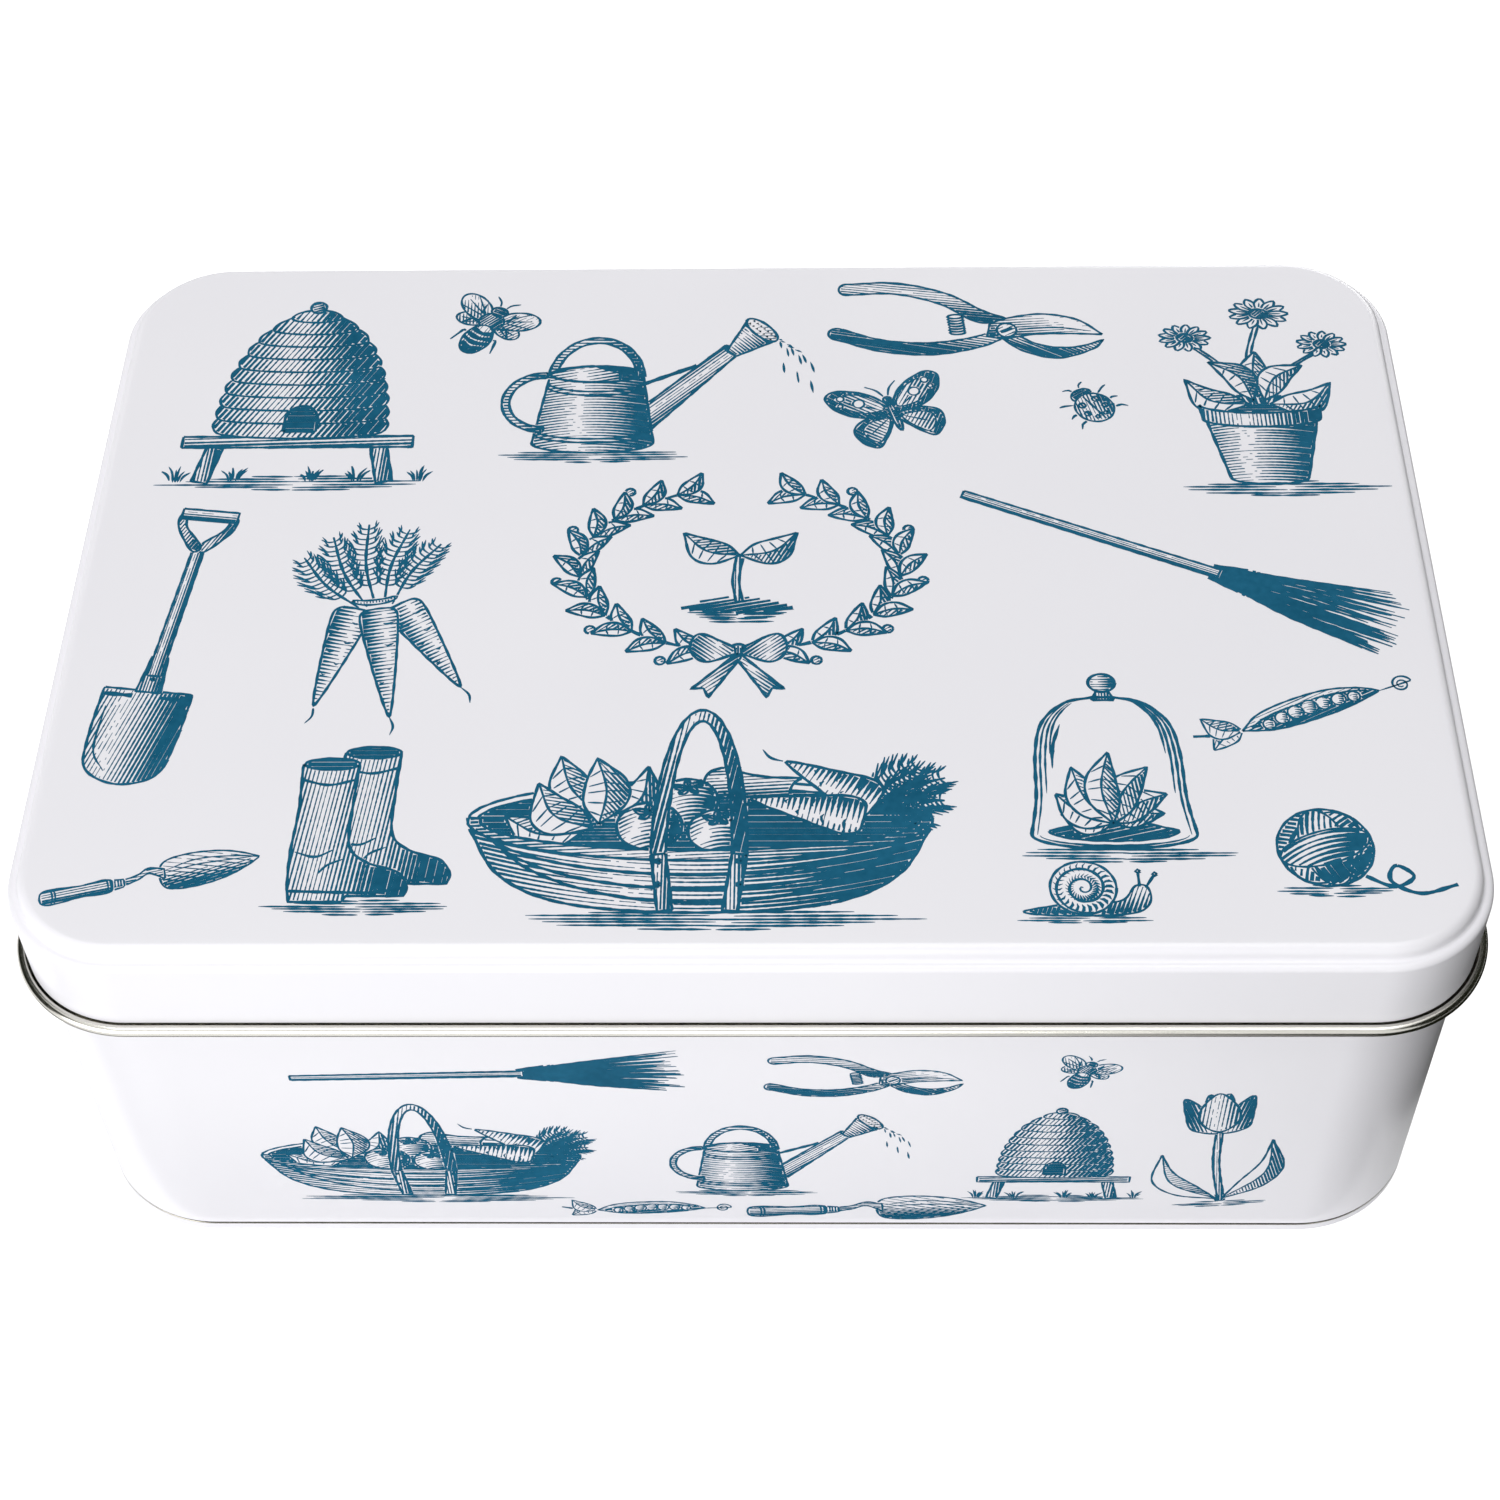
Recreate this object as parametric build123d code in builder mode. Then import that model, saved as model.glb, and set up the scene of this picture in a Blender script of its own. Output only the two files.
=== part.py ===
from build123d import *
import math
import os

# A rectangular storage tin with a slip lid and a lift-out set of card dividers for seed
# packets. Millimetres, +X to the right, +Y to the back, +Z up. The origin is on the floor,
# under the middle of the tin.

os.makedirs("parts", exist_ok=True)

# ---- Driving sizes ---------------------------------------------------------------------

sheet = 0.25                    # thickness of the tinplate

body_width = 249.0              # X, over the wall
body_depth = 171.0              # Y, over the wall
body_corner_radius = 23.0       # upright corners, outer face
ledge_height = 87.4             # floor to the top of the lid's narrow outer ledge
panel_rise = 2.5                # the raised panel of the lid stands this far above the ledge

rim_bead = 2.2                  # outer diameter of the hollow bead along the wall's top edge
side_seam_width = 4.0           # the two ends of the wall sheet lap here, in the middle of the back

seam_height = 2.0               # upturned edge of the base, flush with the wall
seam_width = 1.6                # channel of the base that takes the wall's lower edge
seam_bend_radius = 0.3          # bends of that channel, middle of the sheet
seam_gap = 0.05                 # room around the wall's edge inside the channel
neck_bend_radius = 0.35         # the wall draws in above the channel, middle of the sheet
base_recess = 2.0               # floor to the underside of the base panel
base_bend_radius = 0.6          # bend between the channel and the panel, middle of the sheet

lid_clearance = 0.3             # between the wall and the lid's skirt
lid_seat_gap = 0.1              # between the wall's bead and the underside of the ledge
lid_corner_ease = 3.6           # the lid's corners are this much tighter than the wall's
lid_shoulder_radius = 1.1       # skirt to ledge, outer face
ledge_flat = 0.25               # level part of the ledge
lid_foot_radius = 0.6           # hollow bend where the raised panel starts, outer face
lid_crown_radius = 1.95         # rounded edge of the raised panel, outer face
lid_bead = 2.2                  # outer diameter of the hollow bead along the skirt's lower edge
skirt_depth = 16.7              # top of the ledge to the middle of that bead
bead_turn = 290.0               # degrees that the sheet is curled through in both beads

card = 1.6                      # thickness of the divider board
divider_height = 68.0
divider_end_gap = 0.5           # between a divider's end and the wall's bead
divider_corner_radius = 4.0     # upper corners
packet_row_depth = 120.0        # Y, clear space behind the long divider, for a packet on its side
cross_divider_count = 4
lap_slot_gap = 0.2              # slot width over the board that it takes
lap_end_gap = 0.1               # each slot goes this far past half the height
thumb_notch_radius = 16.0
thumb_notch_depth = 10.0
thumb_notch_lip_radius = 3.0    # rounding of the notch's two upper corners

# ---- Sizes that follow -----------------------------------------------------------------

half_sheet = sheet / 2

lid_width = body_width + 2 * (lid_clearance + sheet)
lid_depth = body_depth + 2 * (lid_clearance + sheet)
lid_corner_radius = body_corner_radius + lid_clearance + sheet - lid_corner_ease

rim_height = ledge_height - sheet - lid_seat_gap
lid_bead_height = ledge_height - skirt_depth
floor_height = base_recess + sheet

# ---- Outlines seen from above, along which the sheet sections run ----------------------

with BuildSketch() as body_outline:
    RectangleRounded(body_width, body_depth, body_corner_radius)

with BuildSketch() as lid_outline:
    RectangleRounded(lid_width, lid_depth, lid_corner_radius)

# Each section is drawn on an upright plane across the middle of the right side. There x is
# measured from the wall's outer face, with the inside of the tin at negative x, and y is the
# height above the floor. The line drawn is the middle of the sheet.

body_section = Plane(origin=(body_width / 2, 0, 0), x_dir=(1, 0, 0), z_dir=(0, -1, 0))
lid_section = Plane(origin=(lid_width / 2, 0, 0), x_dir=(1, 0, 0), z_dir=(0, -1, 0))

# ---- Body wall: one strip bent round, beaded at the top and turned in at the bottom ----

neck_depth = sheet + seam_gap
neck_angle = math.degrees(math.acos(1 - neck_depth / (2 * neck_bend_radius)))
flange_height = sheet + seam_gap + half_sheet
flange_length = seam_width - sheet - neck_depth - 2 * seam_bend_radius
bead_line_radius = (rim_bead - sheet) / 2

with BuildPart() as body_wall:
    with BuildSketch(body_section):
        with BuildLine():
            lower_upright = Line(
                (-neck_depth - half_sheet, flange_height + seam_bend_radius),
                (-neck_depth - half_sheet, seam_height),
            )
            flange_bend = JernArc(
                start=lower_upright @ 0, tangent=(0, -1), radius=seam_bend_radius, arc_size=-90
            )
            Line(flange_bend @ 1, flange_bend @ 1 - (flange_length, 0))
            neck_out = JernArc(
                start=lower_upright @ 1, tangent=(0, 1), radius=neck_bend_radius, arc_size=-neck_angle
            )
            neck_up = JernArc(
                start=neck_out @ 1, tangent=neck_out % 1, radius=neck_bend_radius, arc_size=neck_angle
            )
            upright = Line(neck_up @ 1, (-half_sheet, rim_height - rim_bead / 2))
            JernArc(start=upright @ 1, tangent=(0, 1), radius=bead_line_radius, arc_size=bead_turn)
        trace(line_width=sheet)
    sweep(path=body_outline.wire())
    with BuildSketch(Plane.XY.offset(floor_height)):
        with Locations((0, body_depth / 2 - sheet)):
            Rectangle(side_seam_width, sheet, align=(Align.CENTER, Align.MAX))
    extrude(amount=rim_height - rim_bead - floor_height)

body_wall.part.label = "body_wall"
export_step(body_wall.part, "parts/body_wall.step")

# ---- Base pan: a pressed panel, its edge a channel that clasps the wall ----------------

base_bend_x = -seam_width + half_sheet - base_bend_radius

with BuildPart() as base_pan:
    with BuildSketch(body_section):
        with BuildLine():
            rim = Line((-half_sheet, seam_height), (-half_sheet, half_sheet + seam_bend_radius))
            rim_turn = JernArc(
                start=rim @ 1, tangent=(0, -1), radius=seam_bend_radius, arc_size=-90
            )
            foot = Line(
                rim_turn @ 1, (-seam_width + half_sheet + seam_bend_radius, half_sheet)
            )
            foot_turn = JernArc(
                start=foot @ 1, tangent=(-1, 0), radius=seam_bend_radius, arc_size=-90
            )
            riser = Line(
                foot_turn @ 1,
                (-seam_width + half_sheet, base_recess + half_sheet - base_bend_radius),
            )
            JernArc(start=riser @ 1, tangent=(0, 1), radius=base_bend_radius, arc_size=90)
        trace(line_width=sheet)
    sweep(path=body_outline.wire())
    with BuildSketch(Plane.XY.offset(base_recess)):
        RectangleRounded(
            body_width + 2 * base_bend_x,
            body_depth + 2 * base_bend_x,
            body_corner_radius + base_bend_x,
        )
    extrude(amount=sheet)

base_pan.part.label = "base_pan"
export_step(base_pan.part, "parts/base_pan.step")

# ---- Lid: one drawing, stepped round its top, with its lower edge curled outwards ------

step_angle = math.degrees(math.acos(1 - panel_rise / (lid_foot_radius + lid_crown_radius)))
step_run = (lid_foot_radius + lid_crown_radius) * math.sin(math.radians(step_angle))
panel_x = -lid_shoulder_radius - ledge_flat - step_run
panel_height = ledge_height + panel_rise
lid_bead_line_radius = (lid_bead - sheet) / 2

with BuildPart() as lid:
    with BuildSketch(lid_section):
        with BuildLine():
            skirt = Line(
                (-half_sheet, lid_bead_height),
                (-half_sheet, ledge_height - lid_shoulder_radius),
            )
            JernArc(
                start=skirt @ 0, tangent=(0, -1), radius=lid_bead_line_radius, arc_size=bead_turn
            )
            shoulder = JernArc(
                start=skirt @ 1, tangent=(0, 1), radius=lid_shoulder_radius - half_sheet, arc_size=90
            )
            ledge = Line(shoulder @ 1, shoulder @ 1 - (ledge_flat, 0))
            hollow = JernArc(
                start=ledge @ 1,
                tangent=(-1, 0),
                radius=lid_foot_radius + half_sheet,
                arc_size=-step_angle,
            )
            JernArc(
                start=hollow @ 1,
                tangent=hollow % 1,
                radius=lid_crown_radius - half_sheet,
                arc_size=step_angle,
            )
        trace(line_width=sheet)
    sweep(path=lid_outline.wire())
    with BuildSketch(Plane.XY.offset(panel_height)):
        RectangleRounded(
            lid_width + 2 * panel_x, lid_depth + 2 * panel_x, lid_corner_radius + panel_x
        )
    extrude(amount=-sheet)

lid.part.label = "lid"
export_step(lid.part, "parts/lid.step")

# ---- Card dividers: one long board and four across, half-lapped like an egg crate ------

divider_inset = rim_bead + divider_end_gap
long_divider_length = body_width - 2 * divider_inset
cross_divider_length = body_depth - 2 * divider_inset
long_divider_y = body_depth / 2 - sheet - packet_row_depth - card / 2
packet_row_y = long_divider_y + card / 2 + packet_row_depth / 2
cross_spacing = (body_width - 2 * sheet + card) / (cross_divider_count + 1)
lap_slot_width = card + lap_slot_gap
lap_slot_depth = divider_height / 2 + lap_end_gap
divider_middle = floor_height + divider_height / 2

with BuildPart() as long_divider:
    with BuildSketch(Plane.XZ.offset(-long_divider_y)) as long_face:
        with Locations((0, divider_middle)):
            Rectangle(long_divider_length, divider_height)
        fillet(long_face.vertices().group_by(Axis.Z)[-1], radius=divider_corner_radius)
        with Locations((0, floor_height + divider_height)):
            with GridLocations(cross_spacing, 0, cross_divider_count, 1):
                Rectangle(
                    lap_slot_width,
                    lap_slot_depth,
                    align=(Align.CENTER, Align.MAX),
                    mode=Mode.SUBTRACT,
                )
    extrude(amount=card / 2, both=True)

long_divider.part.label = "long_divider"
export_step(long_divider.part, "parts/long_divider.step")

for number in range(cross_divider_count):
    cross_x = (number - (cross_divider_count - 1) / 2) * cross_spacing
    with BuildPart() as cross_divider:
        with BuildSketch(Plane.YZ.offset(cross_x)) as cross_face:
            with Locations((0, divider_middle)):
                Rectangle(cross_divider_length, divider_height)
            fillet(cross_face.vertices().group_by(Axis.Z)[-1], radius=divider_corner_radius)
            with Locations(
                (packet_row_y, floor_height + divider_height + thumb_notch_radius - thumb_notch_depth)
            ):
                Circle(thumb_notch_radius, mode=Mode.SUBTRACT)
            notch_lips = cross_face.vertices().group_by(Axis.Z)[-1].sort_by(Axis.Y)[1:3]
            fillet(notch_lips, radius=thumb_notch_lip_radius)
            with Locations((long_divider_y, floor_height)):
                Rectangle(
                    lap_slot_width,
                    lap_slot_depth,
                    align=(Align.CENTER, Align.MIN),
                    mode=Mode.SUBTRACT,
                )
        extrude(amount=card / 2, both=True)

    name = f"cross_divider_{number + 1}"
    cross_divider.part.label = name
    export_step(cross_divider.part, f"parts/{name}.step")
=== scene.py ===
import bpy
import bmesh
import math
import numpy as np
from mathutils import Matrix, Vector


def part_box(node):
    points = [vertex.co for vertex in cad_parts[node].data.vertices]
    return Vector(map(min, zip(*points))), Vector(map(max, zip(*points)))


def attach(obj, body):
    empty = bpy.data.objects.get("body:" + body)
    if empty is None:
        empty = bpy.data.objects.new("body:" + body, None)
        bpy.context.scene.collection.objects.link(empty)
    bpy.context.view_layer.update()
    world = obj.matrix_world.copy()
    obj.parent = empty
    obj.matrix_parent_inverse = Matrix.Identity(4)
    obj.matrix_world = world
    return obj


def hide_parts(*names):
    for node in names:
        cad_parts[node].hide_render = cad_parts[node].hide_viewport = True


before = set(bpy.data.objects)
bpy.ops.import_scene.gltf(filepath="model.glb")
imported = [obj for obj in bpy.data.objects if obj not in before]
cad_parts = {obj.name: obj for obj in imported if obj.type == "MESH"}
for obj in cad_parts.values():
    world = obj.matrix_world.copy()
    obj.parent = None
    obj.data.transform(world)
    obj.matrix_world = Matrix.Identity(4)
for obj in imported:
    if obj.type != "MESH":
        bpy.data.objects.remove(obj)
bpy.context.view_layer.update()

# ---- Body wall ---------------------------------------------------------------------------
# One strip of tinplate, bent round four large corners and lock-seamed up the back. It is
# lacquered white outside up to where the lid covers it, and left bare inside. A hollow bead
# stiffens its top edge, and its lower edge is drawn in to sit inside the base.

MM = 0.001
SHEET = 0.25 * MM
CORNER_STEPS = 28

wall_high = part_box("body_wall")[1]
base_low, base_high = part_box("base_pan")
wall_half_width = wall_high.x
wall_half_depth = wall_high.y
WALL_CORNER = 23.0 * MM
RIM_BEAD = 2.2 * MM
BEAD_TURN = math.radians(290)
BEAD_STEPS = 36
BEND_STEPS = 8
SHARP_EDGE = math.radians(35)
SEAM_HEIGHT = 2.0 * MM
SEAM_GROOVE = 0.75 * MM
CHANNEL_GAP = 0.05 * MM
WALL_FOOT_RISE = 0.5 * MM
LACQUER_MARGIN = 11.0 * MM


def arc(centre, radius, start, end, steps):
    """Points (x, z) along an arc, angles in radians from +x."""
    turn = (end - start) / steps
    return [
        (centre[0] + radius * math.cos(start + turn * i), centre[1] + radius * math.sin(start + turn * i))
        for i in range(steps + 1)
    ]


def thicken(line, inner_left):
    """The far side of a sheet whose visible side is line, one SHEET to its left or right."""
    side = []
    for i, (x, z) in enumerate(line):
        before, after = line[max(i - 1, 0)], line[min(i + 1, len(line) - 1)]
        along = Vector((after[0] - before[0], after[1] - before[1])).normalized()
        across = Vector((-along.y, along.x)) * (SHEET if inner_left else -SHEET)
        side.append((x + across.x, z + across.y))
    return side


def outline(half_width, half_depth, corner, seam):
    """Centre-of-turn points and outward directions round a rounded rectangle. seam gives the
    points (x, how deep) of the groove down the middle of the back."""
    stations = []
    for turn, (sx, sy) in enumerate(((1, 1), (-1, 1), (-1, -1), (1, -1))):
        hub = Vector((sx * (half_width - corner), sy * (half_depth - corner)))
        for step in range(CORNER_STEPS + 1):
            angle = math.pi / 2 * (turn + step / CORNER_STEPS)
            stations.append((hub, Vector((math.cos(angle), math.sin(angle)))))
        if turn == 0:
            stations += [(Vector((x, half_depth - corner - deep)), Vector((0, 1))) for x, deep in seam]
    return stations


def put(name, data):
    """Places an object that has this data in the scene."""
    thing = bpy.data.objects.new(name, data)
    bpy.context.scene.collection.objects.link(thing)
    return thing


def solid(name, mesh, finishes):
    """Makes a piece of a finished mesh: faces outward, hard edges kept, finishes in order."""
    bmesh.ops.recalc_face_normals(mesh, faces=mesh.faces)
    data = bpy.data.meshes.new(name)
    mesh.to_mesh(data)
    mesh.free()
    data.set_sharp_from_angle(angle=SHARP_EDGE)
    for finish in finishes:
        data.materials.append(finish)
    return put(name, data)


def wrap(name, half_width, half_depth, corner, section, finish, cap=(), seam=()):
    """Runs a closed section, (x from the outer face, z), round the outline. finish gives each
    section edge's material number, and cap the section points whose rings are closed flat."""
    mesh = bmesh.new()
    rings = []
    for x, z in section:
        rings.append(
            [
                mesh.verts.new((*(hub + out * (corner + x)), z))
                for hub, out in outline(half_width, half_depth, corner, seam)
            ]
        )
    count = len(rings[0])
    for s in range(len(section)):
        if finish[s] is None:
            continue
        here, there = rings[s], rings[(s + 1) % len(section)]
        for i in range(count):
            j = (i + 1) % count
            face = mesh.faces.new((here[i], here[j], there[j], there[i]))
            face.material_index = finish[s]
            face.smooth = True
    for s, number in cap:
        face = mesh.faces.new(rings[s])
        face.material_index = number
    return solid(name, mesh, (lacquer, tinplate))


def linear(hex_colour):
    """An sRGB hex colour as a linear RGBA tuple."""
    parts = [int(hex_colour[i : i + 2], 16) / 255 for i in (1, 3, 5)]
    return (*[p / 12.92 if p <= 0.04045 else ((p + 0.055) / 1.055) ** 2.4 for p in parts], 1.0)


def node(tree, kind, settings=None, **links):
    """Adds a shader node, sets its inputs and properties, and links sockets into it. A setting
    that is a socket itself is linked too, which serves inputs that have only a number."""
    made = tree.nodes.new(kind)
    for key, value in (settings or {}).items():
        if isinstance(value, bpy.types.NodeSocket):
            tree.links.new(value, made.inputs[key])
        elif isinstance(key, int) or key in made.inputs:
            made.inputs[key].default_value = value
        else:
            setattr(made, key, value)
    for key, source in links.items():
        tree.links.new(source, made.inputs[key.replace("_", " ")])
    return made


def new_material(name):
    material = bpy.data.materials.new(name)
    material.use_nodes = True
    tree = material.node_tree
    tree.nodes.clear()
    return material, tree


# White baked lacquer: roller coated and stoved, so it is smooth and a little waxy in shine,
# with the faint orange peel of the coat over rolled steel.
lacquer, tree = new_material("white baked lacquer")
place = node(tree, "ShaderNodeTexCoord")
peel = node(
    tree, "ShaderNodeTexNoise", {"Scale": 1 / (2.5 * MM), "Detail": 2.0}, Vector=place.outputs["Object"],
)
tone = node(
    tree, "ShaderNodeTexNoise", {"Scale": 1 / (60 * MM), "Detail": 1.0}, Vector=place.outputs["Object"],
)
colour = node(
    tree, "ShaderNodeMix", {"data_type": "RGBA", 6: linear("#EBEAEF"), 7: linear("#EEEDF1")},
    Factor=tone.outputs["Fac"],
)
gloss = node(tree, "ShaderNodeMapRange", {"To Min": 0.26, "To Max": 0.34}, Value=tone.outputs["Fac"])
bump = node(tree, "ShaderNodeBump", {"Strength": 0.06, "Distance": 0.02 * MM}, Height=peel.outputs["Fac"])
shader = node(
    tree, "ShaderNodeBsdfPrincipled", {"IOR": 1.5},
    Base_Color=colour.outputs[2], Roughness=gloss.outputs["Result"], Normal=bump.outputs["Normal"],
)
node(tree, "ShaderNodeOutputMaterial", Surface=shader.outputs["BSDF"])

# Bright tinplate: cold-rolled steel with a flowed tin coat, a slightly warm mirror broken by
# the rolling grain along the sheet.
tinplate, tree = new_material("bright tinplate")
place = node(tree, "ShaderNodeTexCoord")
stretch = node(tree, "ShaderNodeMapping", {"Scale": (0.04, 1.0, 1.0)}, Vector=place.outputs["Object"])
grain = node(
    tree, "ShaderNodeTexNoise", {"Scale": 1 / (0.25 * MM), "Detail": 3.0}, Vector=stretch.outputs["Vector"],
)
gloss = node(tree, "ShaderNodeMapRange", {"To Min": 0.12, "To Max": 0.26}, Value=grain.outputs["Fac"])
bump = node(tree, "ShaderNodeBump", {"Strength": 0.1, "Distance": 0.01 * MM}, Height=grain.outputs["Fac"])
colour = node(
    tree, "ShaderNodeMix", {"data_type": "RGBA", 6: linear("#CCCAC2"), 7: linear("#DCDAD3")},
    Factor=grain.outputs["Fac"],
)
shader = node(
    tree, "ShaderNodeBsdfPrincipled", {"Metallic": 1.0},
    Base_Color=colour.outputs[2], Roughness=gloss.outputs["Result"], Normal=bump.outputs["Normal"],
)
node(tree, "ShaderNodeOutputMaterial", Surface=shader.outputs["BSDF"])

LACQUER, TINPLATE = 0, 1

neck = SHEET + CHANNEL_GAP
bead_radius = RIM_BEAD / 2
rim_z = wall_high.z
margin_z = rim_z - LACQUER_MARGIN
outer = [
    (-neck, base_low.z + WALL_FOOT_RISE),
    (-neck, SEAM_HEIGHT - CHANNEL_GAP),
    (-neck, SEAM_HEIGHT + SEAM_GROOVE * 0.5),
    (-neck * 0.5, SEAM_HEIGHT + SEAM_GROOVE * 0.8),
    (0, SEAM_HEIGHT + SEAM_GROOVE),
    (0, margin_z),
    (0, rim_z - bead_radius),
]
outer += arc((-bead_radius, rim_z - bead_radius), bead_radius, 0, BEAD_TURN, BEAD_STEPS)[1:]
inner = thicken(outer, inner_left=True)
section = outer + inner[::-1]
finish = [TINPLATE] * 2 + [LACQUER] * 3 + [TINPLATE] * (len(outer) - 6)
finish += [TINPLATE] * (len(section) - len(finish))
GROOVE_AT, GROOVE_HALF, GROOVE_DEPTH = 2.1 * MM, 0.15 * MM, 0.2 * MM
side_seam_groove = ((GROOVE_AT + GROOVE_HALF, 0), (GROOVE_AT, GROOVE_DEPTH), (GROOVE_AT - GROOVE_HALF, 0))
wall = wrap(
    "tin_wall", wall_half_width, wall_half_depth, WALL_CORNER, section, finish, seam=side_seam_groove,
)
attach(wall, "tin")
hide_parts("body_wall")

# ---- Side seam ---------------------------------------------------------------------------
# The strip's two ends are hooked into each other and hammered flat on the inside of the back,
# which leaves a band of four thicknesses inside and a fine groove outside.

SEAM_BAND = 4.0 * MM
SEAM_LAYERS = 3 * SHEET
SEAM_STOP = 3.5 * MM
SEAM_START = 0.2 * MM
RUN_OUT = 1.5 * MM
FLATTENED = 0.4
back_inside = wall_half_depth - SHEET
fold = SEAM_LAYERS / 2
fold_x = SEAM_BAND / 2 - fold
band = [(fold_x, 0)] + arc((fold_x, -fold), fold, math.pi / 2, -math.pi / 2, BEND_STEPS)[1:]
band += [(-x, y) for x, y in band[::-1]]
mesh = bmesh.new()
rings = [
    [mesh.verts.new((x, back_inside + y * press, z)) for x, y in band]
    for z, press in (
        (base_high.z + SEAM_START, FLATTENED),
        (base_high.z + RUN_OUT, 1),
        (rim_z - SEAM_STOP - RUN_OUT, 1),
        (rim_z - SEAM_STOP, FLATTENED),
    )
]
for low_ring, high_ring in zip(rings, rings[1:]):
    for i in range(len(band)):
        j = (i + 1) % len(band)
        side = mesh.faces.new((low_ring[i], low_ring[j], high_ring[j], high_ring[i]))
        side.smooth = j != len(band) // 2
mesh.faces.new(rings[0])
mesh.faces.new(rings[-1])
side_seam = solid("tin_side_seam", mesh, [tinplate])
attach(side_seam, "tin")

# ---- Base pan ----------------------------------------------------------------------------
# Pressed from tinplate that is lacquered white underneath and bare inside. Its panel is
# recessed, and its edge is folded up round the wall's lower edge in a narrow channel on which
# the tin stands.

SEAM_WIDTH = 1.6 * MM
FOLD = 0.42 * MM
PANEL_BEND = 0.5 * MM
PANEL_START = 2 * MM
under_panel = base_high.z - SHEET
under = [(0, SEAM_HEIGHT)]
under += arc((-FOLD, base_low.z + FOLD), FOLD, 0, -math.pi / 2, BEND_STEPS)
under += arc((-SEAM_WIDTH + FOLD, base_low.z + FOLD), FOLD, -math.pi / 2, -math.pi, BEND_STEPS)
under += arc((-SEAM_WIDTH - PANEL_BEND, under_panel - PANEL_BEND), PANEL_BEND, 0, math.pi / 2, BEND_STEPS)
under += [(-SEAM_WIDTH - PANEL_START, under_panel)]
above = thicken(under, inner_left=False)
section = under + above[::-1]
finish = [LACQUER] * (len(under) - 1) + [None] + [TINPLATE] * len(above)
base = wrap(
    "tin_base", wall_half_width, wall_half_depth, WALL_CORNER, section, finish,
    cap=((len(under) - 1, LACQUER), (len(under), TINPLATE)),
)
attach(base, "tin")
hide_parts("base_pan")

# ---- Wall print --------------------------------------------------------------------------
# Line engravings of garden things, printed in one blue-green ink on the white lacquer while
# the strip is still flat, so that they end short of the bent corners and of the side seam.

INK_FILM = 0.03 * MM
# The points of a line lie CUT_STEP millimetres apart. PRESS and INK_GAIN widen the line, WAVER
# and SHAKE are the unsteady hand that cut it. Rulings stand RULE_SPREAD times as far apart as
# drawn, and those finer than FINEST_LINE don't print.
CUT_STEP = 0.45
INK_GAIN = 0.17
RULE_SPREAD = 1.42
RULE_LEAST, RULE_MOST = 0.06, 1.5
FINEST_LINE = 0.13
PRESS = 1.15
WAVER, SHAKE = 0.16, 0.05
BARELY_THERE = 0.05
COATS, THINNER_BY = 193, 0.6
hand = np.random.default_rng(11)


def joined(*runs):
    """Runs of points, one after another, as one line or shape."""
    return np.vstack(runs)


def smooth(points, closed=False):
    """A smooth line through the points, with the first and last as its ends unless closed."""
    points = np.array(points, float)
    first, last = points[-1:], points[:2]
    if not closed:
        first, last = 2 * points[:1] - points[1:2], 2 * points[-1:] - points[-2:-1]
    knots = joined(first, points, last)
    share = np.linspace(0, 1, 8, endpoint=False)[:, None]
    spans = []
    for a, b, c, d in zip(knots, knots[1:], knots[2:], knots[3:]):
        bend = 2 * a - 5 * b + 4 * c - d + share * (3 * b - a - 3 * c + d)
        spans.append(b + share / 2 * (c - a + share * bend))
    if not closed:
        spans.append(points[-1:])
    return np.vstack(spans)


def ring(centre, across, up, start=0, end=360, tilt=0):
    """An ellipse or part of one, angles in degrees anticlockwise from the right."""
    turn = np.radians(np.linspace(start, end, max(6, int(abs(end - start) / 9))))
    lean = math.radians(tilt)
    x, y = across * np.cos(turn), up * np.sin(turn)
    right, rise = x * math.cos(lean) - y * math.sin(lean), x * math.sin(lean) + y * math.cos(lean)
    return np.stack([right, rise], -1) + centre


def hoop(centre, across, up, band, start, end):
    """A band bent along part of an ellipse."""
    return joined(
        ring(centre, across, up, start, end), ring(centre, across - band, up - band, start, end)[::-1],
    )


def rod(start, end, width, far_width=None):
    """The corners of a straight bar, which may taper."""
    start, end = np.array(start, float), np.array(end, float)
    side = np.array([start[1] - end[1], end[0] - start[0]]) / np.hypot(*(end - start)) / 2
    far = width if far_width is None else far_width
    return np.array([start + side * width, end + side * far, end - side * far, start - side * width])


def mirrored(half):
    """A closed shape from its upper half, which runs along the x axis."""
    half = np.array(half, float)
    return joined(half, half[::-1] * (1, -1))


def stalk(line, half_width):
    """A stem of one width along a line that runs upward."""
    return joined(line - (half_width, 0), line[::-1] + (half_width, 0))


def turned(points, degrees, to=(0, 0), size=1.0):
    """The points turned about the origin, scaled, and moved to a place."""
    lean = math.radians(degrees)
    turn = np.array([[math.cos(lean), math.sin(lean)], [-math.sin(lean), math.cos(lean)]])
    return np.array(points, float) @ turn * size + to


def within(shape, points):
    """Which points lie inside a closed shape."""
    x, y = points[..., :1], points[..., 1:]
    (x0, y0), (x1, y1) = shape.T, np.roll(shape, -1, axis=0).T
    rise = np.where(y1 == y0, 1e-9, y1 - y0)
    return np.logical_xor.reduce(((y0 > y) != (y1 > y)) & (x < x0 + (y - y0) * (x1 - x0) / rise), axis=-1)


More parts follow.
